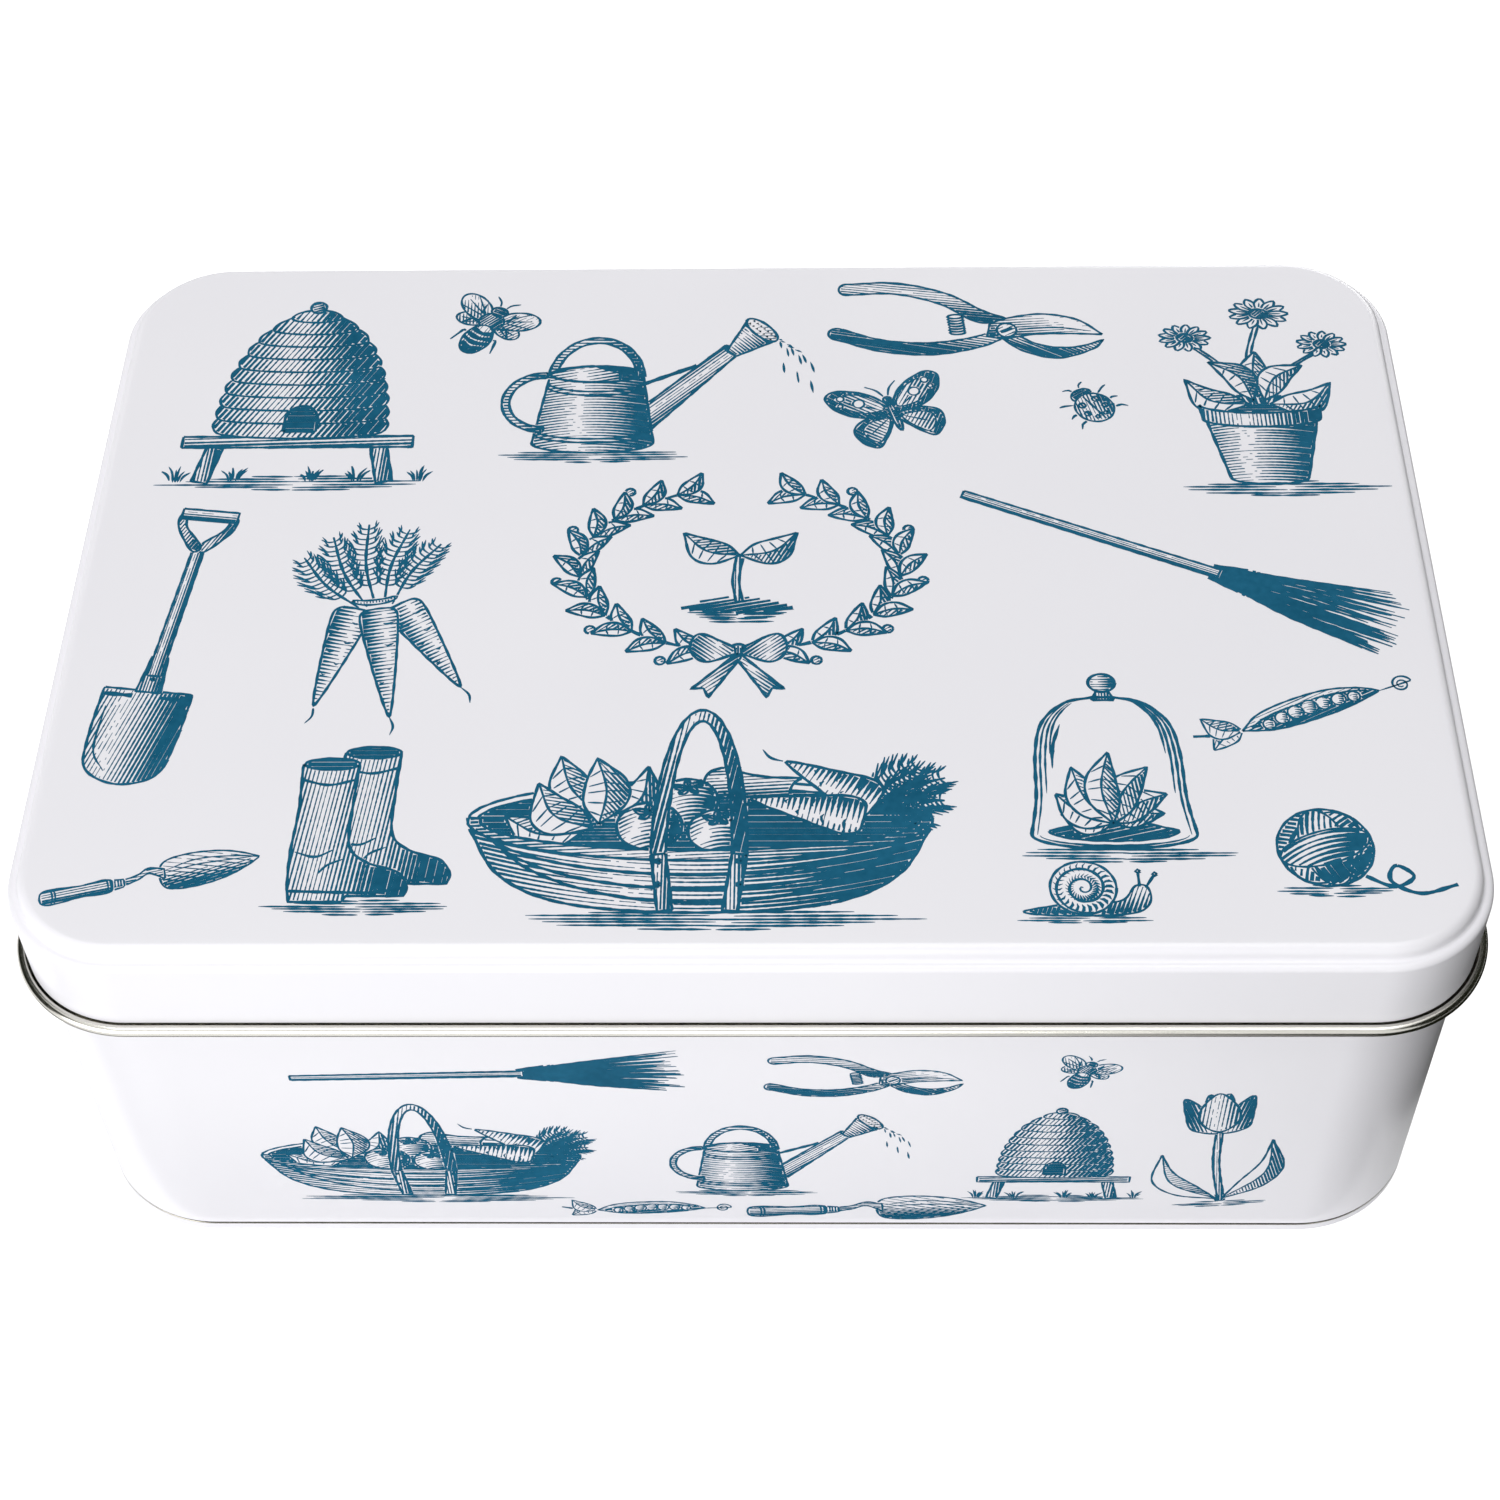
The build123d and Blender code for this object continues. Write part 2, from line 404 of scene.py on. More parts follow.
class Engraving:
    """A line picture in millimetres, cut from its nearest part to its farthest. Each line is a
    strip of points and widths, left out where a part that is already cut hides it."""

    def __init__(self, size):
        self.step = CUT_STEP / size
        self.gain = INK_GAIN / size**0.5
        self.spread = RULE_SPREAD / size**0.5
        self.strips = []
        self.parts = []

    def cut(self, points, widths):
        """Adds rows of points with their widths."""
        seen = widths > BARELY_THERE
        for shape in self.parts:
            seen &= ~within(shape, points)
        for row, row_widths, row_seen in zip(points, widths, seen):
            edges = np.flatnonzero(np.diff(np.concatenate([[False], row_seen, [False]]).astype(int)))
            for start, end in zip(edges[::2], edges[1::2]):
                if end - start > 1:
                    self.strips.append((row[start:end], row_widths[start:end]))

    def line(self, points, width=0.4, ends=0.25, closed=False):
        """One line, which swells from thin ends unless it is closed."""
        points = np.array(points, float)
        if closed:
            points = joined(points, points[:1])
        steps = np.concatenate([[0], np.cumsum(np.hypot(*np.diff(points, axis=0).T))])
        run = np.linspace(0, steps[-1], max(3, int(steps[-1] / self.step)))
        line = np.stack([np.interp(run, steps, points[:, 0]), np.interp(run, steps, points[:, 1])], -1)
        swell = 1.0 if closed else ends + (1 - ends) * np.abs(np.sin(np.pi * run / steps[-1])) ** 0.6
        unsteady = 1 + WAVER * np.sin(run * 1.3 + hand.uniform(0, 6)) + hand.normal(0, SHAKE, len(run))
        self.cut(line[None], ((PRESS * width + self.gain) * swell * unsteady)[None])

    def rule(self, shape, angle=0, pitch=0.62, across=0, lit=0.3, tone=(0.1, 0.6), bow=0):
        """Rules a shape with lines at an angle, bent by bow. They are thinnest at lit, which is a
        share of the way across the shape, and swell towards its two sides."""
        lean, way = math.radians(angle), math.radians(across)
        turn = np.array([[math.cos(lean), -math.sin(lean)], [math.sin(lean), math.cos(lean)]])
        low, high = (shape @ turn).min(axis=0), (shape @ turn).max(axis=0)
        pitch *= self.spread
        run = np.arange(low[0], high[0] + self.step, self.step)
        rows = np.arange(low[1] - abs(bow), high[1] + abs(bow), pitch)
        x, y = np.meshgrid(run, rows + hand.uniform(-0.08, 0.08, len(rows)) * pitch)
        sag = bow * (2 * (x - low[0]) / (high[0] - low[0]) - 1) ** 2
        points = np.stack([x, y - sag], -1) @ turn.T
        reach = shape @ (math.cos(way), math.sin(way))
        share = (points @ (math.cos(way), math.sin(way)) - reach.min()) / (reach.max() - reach.min())
        dark = tone[0] + (tone[1] - tone[0]) * (np.abs(share - lit) / max(lit, 1 - lit)) ** 1.15
        dark = RULE_LEAST + (RULE_MOST - RULE_LEAST) * dark + hand.normal(0, SHAKE, dark.shape)
        widths = pitch * np.clip(dark, 0, 0.98) * within(shape, points)
        self.cut(points, widths * (widths > FINEST_LINE))

    def part(self, shape, edge=0.42, **ruling):
        """A whole part: its outline, its ruling if any is given, and what it hides behind it."""
        self.line(shape, edge, closed=True)
        if ruling:
            self.rule(shape, **ruling)
        self.parts.append(np.array(shape, float))

    def leaf(self, base, tip, width, curl, veins=4, tone=(0.1, 0.62)):
        """A pointed leaf with its midrib, its veins and a shaded half."""
        base, tip = np.array(base, float), np.array(tip, float)
        along = tip - base
        side = np.array([-along[1], along[0]])
        belly = width / np.hypot(*along) / 2
        rib = smooth([base, base + along * 0.5 + side * curl, tip])
        upper, lower = (
            smooth([
                base, base + along * 0.3 + side * (curl * 0.8 + half * 0.9),
                base + along * 0.65 + side * (curl + half * 0.85), tip,
            ])
            for half in (belly, -belly)
        )
        self.line(rib, 0.3, ends=0.6)
        for k in range(1, veins + 1):
            at = k / (veins + 1)
            spot = int(at * (len(rib) - 1))
            for edge in (upper, lower):
                far = edge[min(spot + 4, len(edge) - 3)]
                self.line([rib[spot], far * 0.8 + rib[spot] * 0.2], 0.18, ends=0.4)
        angle = math.degrees(math.atan2(along[1], along[0])) + 35
        self.rule(joined(rib, lower[::-1]), angle, 0.5, tone=tone, lit=0.0)
        self.part(joined(upper, lower[::-1]), 0.36)

    def ground(self, left, right, height, rows):
        """The shadow on the ground, as broken level lines."""
        middle, half = (left + right) / 2, (right - left) / 2
        for row in range(rows):
            reach = half * math.sin(math.pi * (row + 0.8) / (rows + 0.6))
            for side in (-1, 1):
                near, far = hand.uniform(-0.1, 0.15) * reach, hand.uniform(0.75, 1.0) * reach
                level = height - 0.75 * row + hand.uniform(-0.12, 0.12)
                self.line(
                    [(middle + side * near, level), (middle + side * far, level + 0.1)], 0.34, ends=0.2,
                )

    def tuft(self, foot, blades, height):
        """A tuft of grass."""
        for k in range(blades):
            lean = (k / (blades - 1) - 0.5) * 1.5 + hand.uniform(-0.15, 0.15)
            tall = height * hand.uniform(0.6, 1.0) * (1 - 0.35 * abs(lean))
            x, y = foot[0] + lean * 1.2, foot[1]
            blade = smooth([
                (x, y), (x + lean * tall * 0.25, y + tall * 0.6), (x + lean * tall * 0.8, y + tall),
            ])
            self.line(blade, 0.34, ends=0.1)


def tomato(art, centre, size):
    for k in range(5):
        turn = math.radians(90 + 72 * k)
        spot = np.array(centre) + (0, size * 0.55)
        tip = spot + np.array([math.cos(turn), math.sin(turn) * 0.6]) * size * 0.55
        art.leaf(spot, tip, size * 0.22, 0.1, veins=0, tone=(0.5, 0.9))
    art.part(ring(centre, size, size * 0.9), angle=8, bow=size * 0.3, across=-20, tone=(0.03, 0.9))


def carrot(art, crown, degrees, length):
    half = smooth([
        (0, 0.6), (0.6, 3.6), (4, 4.5), (length * 0.5, 3.0), (length * 0.85, 1.2), (length, 0.15),
    ])
    for at, side in ((0.14, 1), (0.22, -1), (0.34, 1), (0.45, -1), (0.56, 1), (0.68, -1)):
        wide = 4.4 * (1 - at) * side
        crease = smooth([
            (length * at, wide), (length * at + 0.5, wide * 0.5), (length * at + 0.1, wide * 0.25),
        ])
        art.line(turned(crease, degrees, crown))
    art.part(
        turned(mirrored(half), degrees, crown), angle=degrees + 90, across=degrees + 90, lit=0.66,
        tone=(0.04, 0.8), pitch=0.7,
    )
    art.line(turned(smooth([(length, 0), (length + 3, 0.6), (length + 5.4, -0.4)]), degrees, crown), 0.34)


def feathers(art, crown, degrees, length):
    rib = smooth([(0, 0), (length * 0.5, 1.2), (length, -0.6)])
    art.line(turned(rib, degrees, crown), 0.55, ends=0.5)
    for k in range(4, len(rib) - 1):
        for side in (-1, 1):
            reach = (1.4 + 3.6 * math.sin(math.pi * k / len(rib))) * (1 if k % 2 else 0.75)
            fork = rib[k] + (reach * 0.2, reach * 0.6 * side)
            tip = rib[k] + (reach * 0.75, reach * side)
            art.line(turned(smooth([rib[k], fork, tip]), degrees, crown), 0.32, ends=0.4)
            art.line(turned([fork, tip + (0.8, -0.5 * side)], degrees, crown), 0.26)


def trug(art):
    rim = hoop((0, 0), 44, 9.5, 2.4, 176, 364)
    handle = hoop((0, -7), 9, 34, 2.8, -2, 182)
    for side in (-1, 1):
        for level in (-9.6, -15):
            art.line(ring((7.6 * side, level), 0.5, 0.5), 0.5, closed=True)
        art.part(rod((7.6 * side, -8), (6.0 * side, -21), 2.8), angle=90, tone=(0.15, 0.8), pitch=0.5)
    art.part(handle, angle=80, lit=0.4, tone=(0.1, 0.85), pitch=0.6)
    art.part(rim, angle=3, lit=0.4, tone=(0.1, 0.7), pitch=0.55)
    hull = smooth([(43.4, -2), (37, -13), (24, -19.4), (0, -21.4), (-24, -19.4), (-37, -13), (-43.4, -2)])
    front = ring((0, 0), 43.4, 9.3, 360, 180)
    x, y = ring((0, 0), 43.4, 9.3, 356, 184).T
    for share in (0.28, 0.54, 0.78):
        drop = 12.6 * share * np.sqrt(np.maximum(0, 1 - (x / 44) ** 2))
        art.line(np.stack([x * (1 - 0.12 * share), y - drop], -1), 0.55, ends=0.5)
    art.part(joined(hull, front[::-1][1:-1]), 0.45, bow=-7, lit=0.34, tone=(0.08, 0.92), pitch=0.66)
    for centre, size in (((-9.5, -1.4), 6.2), ((3.4, -2.6), 5.6), ((-2.4, 4.6), 5.8)):
        tomato(art, centre, size)
    carrot(art, (31, 0.5), 168, 22)
    carrot(art, (33.5, 4), 150, 20)
    for degrees, length in ((12, 15), (30, 17), (48, 15), (-4, 12)):
        feathers(art, (31.5, 2), degrees, length)
    for base, tip, width, curl in (
        ((-20, -2), (-31, 9), 9, 0.2), ((-19, -1), (-20, 15), 9, -0.1), ((-22, -3), (-37, 1), 8, 0.15),
        ((-18, 0), (-10, 13), 8, -0.2), ((-20, 2), (-27, 15.5), 8, 0.1),
    ):
        art.leaf(base, tip, width, curl, veins=5)
    cucumber = joined(
        ring((20.6, 6.6), 3.6, 3.6, 300, 60), smooth([(22, 10), (12, 10.4), (4, 12.6)]),
        ring((4, 9), 3.4, 3.4, 100, 250), smooth([(3, 5.6), (12, 3.6), (22, 3.3)]),
    )
    art.part(cucumber, angle=4, across=90, lit=0.7, tone=(0.15, 0.9), pitch=0.55)
    art.part(hoop((0, 0), 44, 9.5, 1.8, 0, 180), 0.4)
    art.rule(ring((0, 0), 42.6, 8.3), 0, 0.5, tone=(0.6, 0.9))
    art.ground(-40, 46, -20.6, 7)


def broom(art):
    twigs = joined(
        [(14, 2.2), (22, 4.0)], smooth([(30, 5.4), (44, 9.4), (56, 10.4)]),
        smooth([(56, -9.6), (44, -9), (30, -5.2)]), [(22, -3.8), (14, -2.2)],
    )
    for x, half in ((17.4, 3.2), (23.4, 4.4)):
        for slip in (0, 1.1, 2.2):
            art.line(smooth([(x + slip, half), (x + slip + 0.9, 0), (x + slip, -half)]), 0.7, ends=0.9)
    art.part(rod((-50, 0), (16, 0), 2.4, 2.9), across=90, lit=0.66, tone=(0.1, 0.95), pitch=0.42)
    for k in range(46):
        share = k / 45 * 2 - 1 + hand.uniform(-0.02, 0.02)
        reach = 56 + hand.uniform(-3, 5)
        way = smooth([
            (14, share * 1.9), (24, share * 3.8), (36, share * 6.4 + hand.uniform(-0.4, 0.4)),
            (reach, share * 10 + hand.uniform(-1, 1)),
        ])
        art.line(way, 0.34 + 0.3 * max(0, -share) + 0.1 * hand.random(), ends=0.35)
    art.line(twigs[:2], 0.5, ends=0.8)
    art.line(twigs[-2:], 0.5, ends=0.8)


def watering_can(art):
    handle = hoop((-3, 3), 11, 14, 1.8, 4, 176)
    art.part(hoop((-14.5, -4), 9.5, 9.5, 1.7, 88, 272), tone=(0.2, 0.8))
    body = joined(
        [(-13.5, 5)], ring((-3, -17), 13.5, 3, 180, 360), [(7.5, 5)], ring((-3, 5), 10.5, 2.6, 0, 180)[1:-1],
    )
    rose = joined(
        [(26.4, 12.6)], [(31, 22.6)], ring((34.2, 19.2), 4.9, 1.9, 130, -50, -48), [(37.6, 15.8)],
        [(28.4, 10.6)],
    )
    face = ring((34.3, 19.3), 4.9, 2.0, tilt=-48)
    for k in range(-3, 4):
        for row in (-0.7, 0.6):
            spot = np.array([34.3, 19.3]) + np.array([0.66, -0.75]) * k * 1.2 + np.array([0.75, 0.66]) * row
            art.line(ring(spot, 0.32, 0.32), closed=True)
    art.part(face, tone=(0.05, 0.2), across=-48)
    art.part(rose, angle=-48, across=-48, lit=0.35, tone=(0.1, 0.75), pitch=0.5)
    spout = np.array([(7, -6.5), (26, 14.2), (28.6, 11), (8.5, -14.5)])
    art.line(ring((27.4, 12.5), 2.2, 0.8, tilt=-48), 0.5, closed=True)
    art.line([(7.4, 1.5), (19.6, 7.6)], 0.9, ends=0.9)
    for level, reach in ((-14, 13.3), (-12.8, 13.2), (2.2, 10.8), (1.0, 11.0)):
        art.line(ring((-3, level), reach, 2.9, 182, 358), ends=0.8)
    art.line(ring((-3, 5), 10.5, 2.6), 0.5, closed=True)
    hood = joined(ring((-3, 5), 10.5, 2.6, 180, 300), [(2.4, 5.2), (-4, 7.8), (-10, 6.6)])
    art.part(hood, angle=12, lit=0.45, tone=(0.05, 0.5))
    art.part(handle, tone=(0.2, 0.8))
    art.rule(ring((-3, 5), 10.5, 2.6), 0, 0.42, tone=(0.75, 0.9))
    art.part(body, bow=1.8, lit=0.36, tone=(0.05, 0.86), pitch=0.58)
    art.part(spout, angle=46, across=-44, lit=0.4, tone=(0.1, 0.8), pitch=0.5)
    for k in range(6):
        reach = 8 + 2.6 * k
        start = (36 + 0.5 * k, 17.5 - 0.7 * k)
        fall = smooth([
            start, (start[0] + reach * 0.3, start[1] - 2 - 0.4 * k),
            (start[0] + reach * 0.45, start[1] - 14 - k),
        ])
        for dash in range(3 + k % 2, len(fall) - 3, 5):
            art.line(fall[dash : dash + 3], 0.34, ends=0.2)
    art.ground(-26, 22, -19.2, 6)


def secateurs(art):
    screw = ring((6, 0), 2.5, 2.5)
    art.line([(4.6, -1.0), (7.4, 1.0)], 0.7, ends=0.9)
    art.part(screw, tone=(0.05, 0.3), angle=40)
    blade = joined(
        smooth([(1.5, 1.8), (6, 4.6), (14, 7.4), (23, 6.8), (30, 2.4)]),
        smooth([(30, 2.4), (22, 1.4), (13, -0.4), (6, -3.2), (1.5, -3)]),
    )
    art.line(smooth([(9, 1.0), (18, 3.0), (27, 3.2)]), 0.3)
    art.part(blade, angle=14, across=75, lit=0.85, tone=(0.02, 0.7), pitch=0.55)
    lower_grip = joined(
        smooth([(4, 3), (-2, 1.8), (-12, 6.8), (-24, 8.6), (-35, 6.4)]),
        ring((-36.2, 8.2), 2.1, 2.1, 300, 90),
        smooth([(-35, 10.6), (-24, 12.8), (-11, 11), (-1, 6.2), (5, 4.4)]),
    )
    art.part(lower_grip, angle=2, across=90, lit=0.72, tone=(0.12, 0.95), pitch=0.55)
    coil = [np.array([-7.5 + 0.25 * k, 2.8 - 0.95 * k]) for k in range(7)]
    for spot in coil:
        art.part(ring(spot, 2.0, 0.75, tilt=14), 0.45)
    upper_grip = joined(
        smooth([(8, 2), (3, -1), (-4, -5), (-14, -8.2), (-25, -8.8), (-35, -6.6)]),
        ring((-36, -8.6), 2.1, 2.1, 60, 270),
        smooth([(-35, -10.8), (-24, -13), (-11, -12), (0, -7.4), (6, -2.8)]),
    )
    art.part(upper_grip, angle=-2, across=90, lit=0.75, tone=(0.12, 0.95), pitch=0.55)
    hook = joined(
        smooth([(5, -3), (11, -6.8), (20, -8), (28, -3.4), (30.5, 0.6)]),
        smooth([(30.5, 0.6), (25, -2.8), (19, -4.2), (13, -3.4), (7, 0)]),
    )
    art.part(hook, angle=-20, across=90, lit=0.8, tone=(0.25, 0.95), pitch=0.5)


def bee(art):
    for level in (-2.4, -4.4, -6.4, -8.4, -10):
        half = 3.7 * math.sqrt(max(0.05, 1 - ((level + 5.4) / 5.8) ** 2))
        art.line(smooth([(-half, level + 0.5), (0, level - 0.5), (half, level + 0.5)]), 1.15, ends=0.9)
    art.part(ring((0, -5.4), 3.8, 5.8), angle=90, lit=0.4, tone=(0.05, 0.4), pitch=0.5)
    art.part(ring((0, 6.4), 2.3, 1.8), pitch=0.45, tone=(0.5, 0.9))
    art.part(ring((0, 2.2), 3.5, 3.1), angle=70, lit=0.35, tone=(0.35, 0.95), pitch=0.45)
    for side in (-1, 1):
        art.line(smooth([(0.8 * side, 7.8), (1.6 * side, 10), (3.6 * side, 11.6)]))
        for foot, knee in (((4.6, 7.6), (4.2, 4.6)), ((7.2, -1.6), (5.2, 1.2)), ((6.2, -8.6), (5.0, -3.6))):
            art.line(
                [(2.4 * side, knee[1] - 1), (knee[0] * side, knee[1]), (foot[0] * side, foot[1])], 0.5,
                ends=0.4,
            )
        for tilt, reach, wide in ((28, 10.6, 3.5), (-12, 7.4, 2.5)):
            lean = math.radians(tilt)
            way = np.array([math.cos(lean) * side, math.sin(lean)])
            for veer in (-0.32, 0.0, 0.3):
                vein = np.array([math.cos(lean + veer) * side, math.sin(lean + veer)])
                art.line([way * 2 + (0, 2), way * 2 + vein * reach * 0.86 + (0, 2)], 0.25, ends=0.5)
            wing = ring(way * (reach * 0.55 + 1.6) + (0, 2), reach * 0.55, wide, tilt=tilt * side)
            art.part(wing, 0.38, angle=60 * side, across=90, lit=0.8, tone=(0.04, 0.42), pitch=0.55)


def beehive(art):
    door = joined([(-3.4, -15.4)], ring((0, -12), 3.4, 4.2, 180, 0), [(3.4, -15.4)])
    art.part(door, 0.5, pitch=0.42, tone=(0.85, 0.92))
    art.part(ring((0, 22.6), 1.7, 1.7), angle=20, tone=(0.3, 0.8), pitch=0.5)
    cap = joined(ring((0, 19.2), 5.4, 2.6, 0, 180), ring((0, 19.2), 5.4, 1.3, 180, 360))
    art.part(cap, 0.36, angle=62, lit=0.34, tone=(0.12, 0.9), pitch=0.72)
    coils = 9
    for k in range(coils):
        low, high = -15.4 + 35 / coils * k, -15.4 + 35 / coils * (k + 1)
        wide = [17.5 * math.sqrt(max(0.0, 1 - ((z + 15.4) / 36.5) ** 2)) for z in (low, high)]
        bulge = [
            (wide[0] + 0.2, low), (wide[0] * 0.5 + wide[1] * 0.5 + 0.9, (low + high) / 2),
            (wide[1] + 0.2, high),
        ]
        bottom = ring((0, low), wide[0], 2.0, 180, 360)
        top = ring((0, high), max(wide[1], 1.2), 1.6, 360, 180)
        coil = joined(bottom, smooth(bulge)[1:-1], top, (smooth(bulge) * (-1, 1))[::-1][1:-1])
        art.part(coil, 0.36, angle=62, lit=0.34, tone=(0.12, 0.9), pitch=0.72)
    art.part(rod((-24, -18.4), (24, -18.4), 3.2), angle=2, across=90, lit=0.9, tone=(0.15, 0.6), pitch=0.7)
    for x in (-17, 17):
        art.part(rod((x, -20), (x * 1.12, -30), 3.4), angle=88, tone=(0.2, 0.9), pitch=0.5)
    art.ground(-30, 32, -28.5, 6)
    for x in (-24, -12, 4, 13, 26):
        art.tuft((x, -30), 7, 5.5)


def trowel(art):
    grip = mirrored(
        smooth([(-37, 0), (-36.4, 2.2), (-34, 3.1), (-29, 2.9), (-23, 2.3), (-16, 2.9), (-12.6, 2.3)])
    )
    for x in (-33.2, -32.2, -14.6, -13.6):
        art.line(ring((x, 0), 0.6, 2.8, 270, 450), 0.35, ends=0.7)
    art.part(grip, across=90, lit=0.62, tone=(0.12, 0.95), pitch=0.55)
    art.part(rod((-12.8, 0), (-8.6, 0), 4.2, 3.2), angle=90, across=90, lit=0.6, tone=(0.3, 0.8), pitch=0.5)
    neck = joined(
        smooth([(-9, 1.2), (-4, 2.2), (0, 4.2), (5, 2.6)]),
        smooth([(5, -1.6), (0, 1.9), (-4, 0.2), (-9, -1.2)]),
    )
    art.part(neck, across=90, lit=0.6, tone=(0.15, 0.9), pitch=0.5)
    half = smooth([(3, 0.1), (4.2, 4.6), (8, 6.6), (16, 7.0), (25, 5.6), (32, 2.9), (37, 0)])
    for spread in (0.28, 0.62):
        art.line(smooth([(5, 3 * spread), (16, 6.6 * spread), (27, 4.4 * spread), (35, 0.5)]), 0.3)
    art.rule(joined(half * (1, -1), [(37, 0), (3, 0)]), 8, 0.55, across=90, lit=1.0, tone=(0.15, 0.95))
    art.part(mirrored(half), angle=-20, across=90, lit=0.8, tone=(0.05, 0.3), pitch=0.9)


def pea_pod(art):
    half_top = smooth([(-22, 1), (-15, 4.6), (-4, 5.6), (8, 4.6), (17, 1.4), (22, -2)])
    half_low = smooth([(22, -2), (14, -3.2), (2, -3.8), (-12, -2.6), (-22, 1)])
    for k in range(7):
        x = -13.6 + 4.6 * k
        size = 2.5 - 0.12 * abs(k - 3) ** 1.5
        art.part(
            ring((x, 1.0 - 0.02 * (x + 2) ** 2 * 0.35), size, size), 0.36, angle=-20, bow=0.8, across=-30,
            tone=(0.02, 0.85), pitch=0.45,
        )
    slit = joined(half_top, half_low) * (0.86, 0.5) + (0, 0.5)
    art.part(slit, 0.36, pitch=0.42, tone=(0.7, 0.9))
    art.part(joined(half_top, half_low), angle=4, across=90, lit=0.75, tone=(0.05, 0.8), pitch=0.55)
    art.leaf((-22, 1), (-31, 10), 7, 0.15)
    art.leaf((-22, 1), (-33, -2), 6.4, -0.12)
    art.line(smooth([(-22, 1), (-28, 2), (-36, 5)]), 0.8, ends=0.7)
    turns = np.linspace(0, 3.6 * math.pi, 50)
    curl = np.stack(
        [3.4 * np.exp(-turns / 9) * np.cos(turns) + 26, 3.4 * np.exp(-turns / 9) * np.sin(turns) - 3.4], -1,
    )
    art.line(joined([(22, -2)], curl + (3, 1)), ends=0.5)


def tulip(art):
    art.part(
        smooth([(0, 8), (-4.4, 12), (-4.8, 19), (0, 26.4), (4.8, 19), (4.4, 12)], closed=True), angle=84,
        lit=0.4, tone=(0.04, 0.55), pitch=0.6,
    )
    for side in (-1, 1):
        petal = smooth(
            [
                (0.4 * side, 7.4), (6.8 * side, 9.4), (8.4 * side, 16), (8.6 * side, 24.6), (4.4 * side, 20),
                (2.6 * side, 14),
            ],
            closed=True,
        )
        art.part(petal, angle=90 - 14 * side, lit=0.5 - 0.3 * side, tone=(0.08, 0.9), pitch=0.55)
    art.part(
        smooth([(-3.4, 20), (-2.6, 26), (0, 24), (2.6, 26), (3.4, 20), (0, 14)], closed=True), 0.4, angle=90,
        pitch=0.5, tone=(0.5, 0.9),
    )
    art.leaf((0.6, -26), (13.6, 3), 7.4, -0.16, veins=0)
    art.leaf((-0.6, -26), (-14.6, -2), 7.8, 0.2, veins=0)
    stem = smooth([(0.6, -27), (-0.8, -8), (0, 8)])
    art.part(stalk(stem, 0.85), 0.4, angle=90, tone=(0.1, 0.8), pitch=0.4)
    art.tuft((0, -27.6), 11, 5)
    art.ground(-14, 15, -27.4, 4)


def daisy(art, centre, size):
    petals, squash = 13, 0.75
    art.part(ring(centre, size * 0.3, size * 0.3 * squash), angle=45, tone=(0.5, 0.85), pitch=0.4)
    for k in range(petals):
        turn = 2 * math.pi * k / petals
        reach = np.array([math.cos(turn), math.sin(turn) * squash]) * size
        side = np.array([-math.sin(turn), math.cos(turn) * squash]) * size * 0.17
        middle = np.array(centre, float)
        art.line([middle + reach * 0.3, middle + reach * 0.75], 0.2)
        broad = middle + reach * 0.65
        art.part(
            smooth([middle + reach * 0.2, broad + side, middle + reach, broad - side], closed=True), 0.3,
        )


def potted_daisies(art):
    rim = joined(ring((0, -4), 11.4, 2.2, 180, 360), ring((0, 0), 11.8, 2.4, 0, -180))
    art.part(rim, angle=90, lit=0.35, tone=(0.08, 0.85), pitch=0.55)
    pot = joined(ring((0, -20), 7.4, 1.7, 180, 360), [(10.6, -5), (-10.6, -5)])
    art.part(pot, bow=1.2, lit=0.33, tone=(0.06, 0.88), pitch=0.55)
    for head, size in (((2.4, 26), 6.0), ((-13, 19), 5.2), ((14, 17), 5.0)):
        daisy(art, head, size)
    for base, tip, width, curl in (
        ((-2, 0), (-14, 7), 6.5, 0.2),
        ((2, 0), (14.5, 6), 6.5, -0.2),
        ((-1, 1), (-9, 12), 6.0, -0.16),
        ((1, 1), (9.5, 11), 6.0, 0.16),
        ((0, 2), (0.5, 15), 6.0, 0.05),
    ):
        art.leaf(base, tip, width, curl)
    for stem in (((0, 0), (-1, 12), (2, 24)), ((-2, 0), (-6, 10), (-12, 17)), ((2, 0), (6, 9), (13, 15))):
        art.part(stalk(smooth(stem), 0.45), 0.3)
    art.rule(ring((0, 0), 11.4, 2.2), 0, 0.42, tone=(0.7, 0.9))
    art.line(ring((0, 0), 11.8, 2.4), 0.45, closed=True)
    art.ground(-20, 24, -21, 6)


def boots(art):
    boot = joined(
        [(-6.4, 18)], ring((0.2, 18), 6.4, 1.7, 180, 360),
        smooth([(6.6, 17), (6.2, 4), (6.6, -6), (11, -10.6), (18, -13.2), (20.6, -17), (20.2, -20)]),
        [(7, -20), (6.4, -21.6), (-5.6, -21.6)], smooth([(-6.4, -18), (-6.8, -8), (-6.2, 4), (-6.6, 17)]),
    )
    for shift in ((0, 0), (9.5, 3.4)):
        art.line(smooth([(-6.2, -18.6), (6, -19), (13, -19), (20.4, -17.6)]) + shift, 0.6, ends=0.9)
        art.line(smooth([(-6.4, 13.4), (0, 11.8), (6.4, 13.4)]) + shift, 0.5, ends=0.9)
        art.line(smooth([(-5.8, -7.6), (-1, -9), (3, -7)]) + shift, 0.45)
        art.line(smooth([(5.6, -9.6), (2, -11.4), (0, -14)]) + shift)
        art.part(boot + shift, 0.48, angle=84, lit=0.22, tone=(0.12, 0.95), pitch=0.6)
        art.part(ring((0.2 + shift[0], 18 + shift[1]), 6.4, 1.7), 0.48, pitch=0.4, tone=(0.75, 0.9))
    art.ground(-14, 36, -21.4, 6)


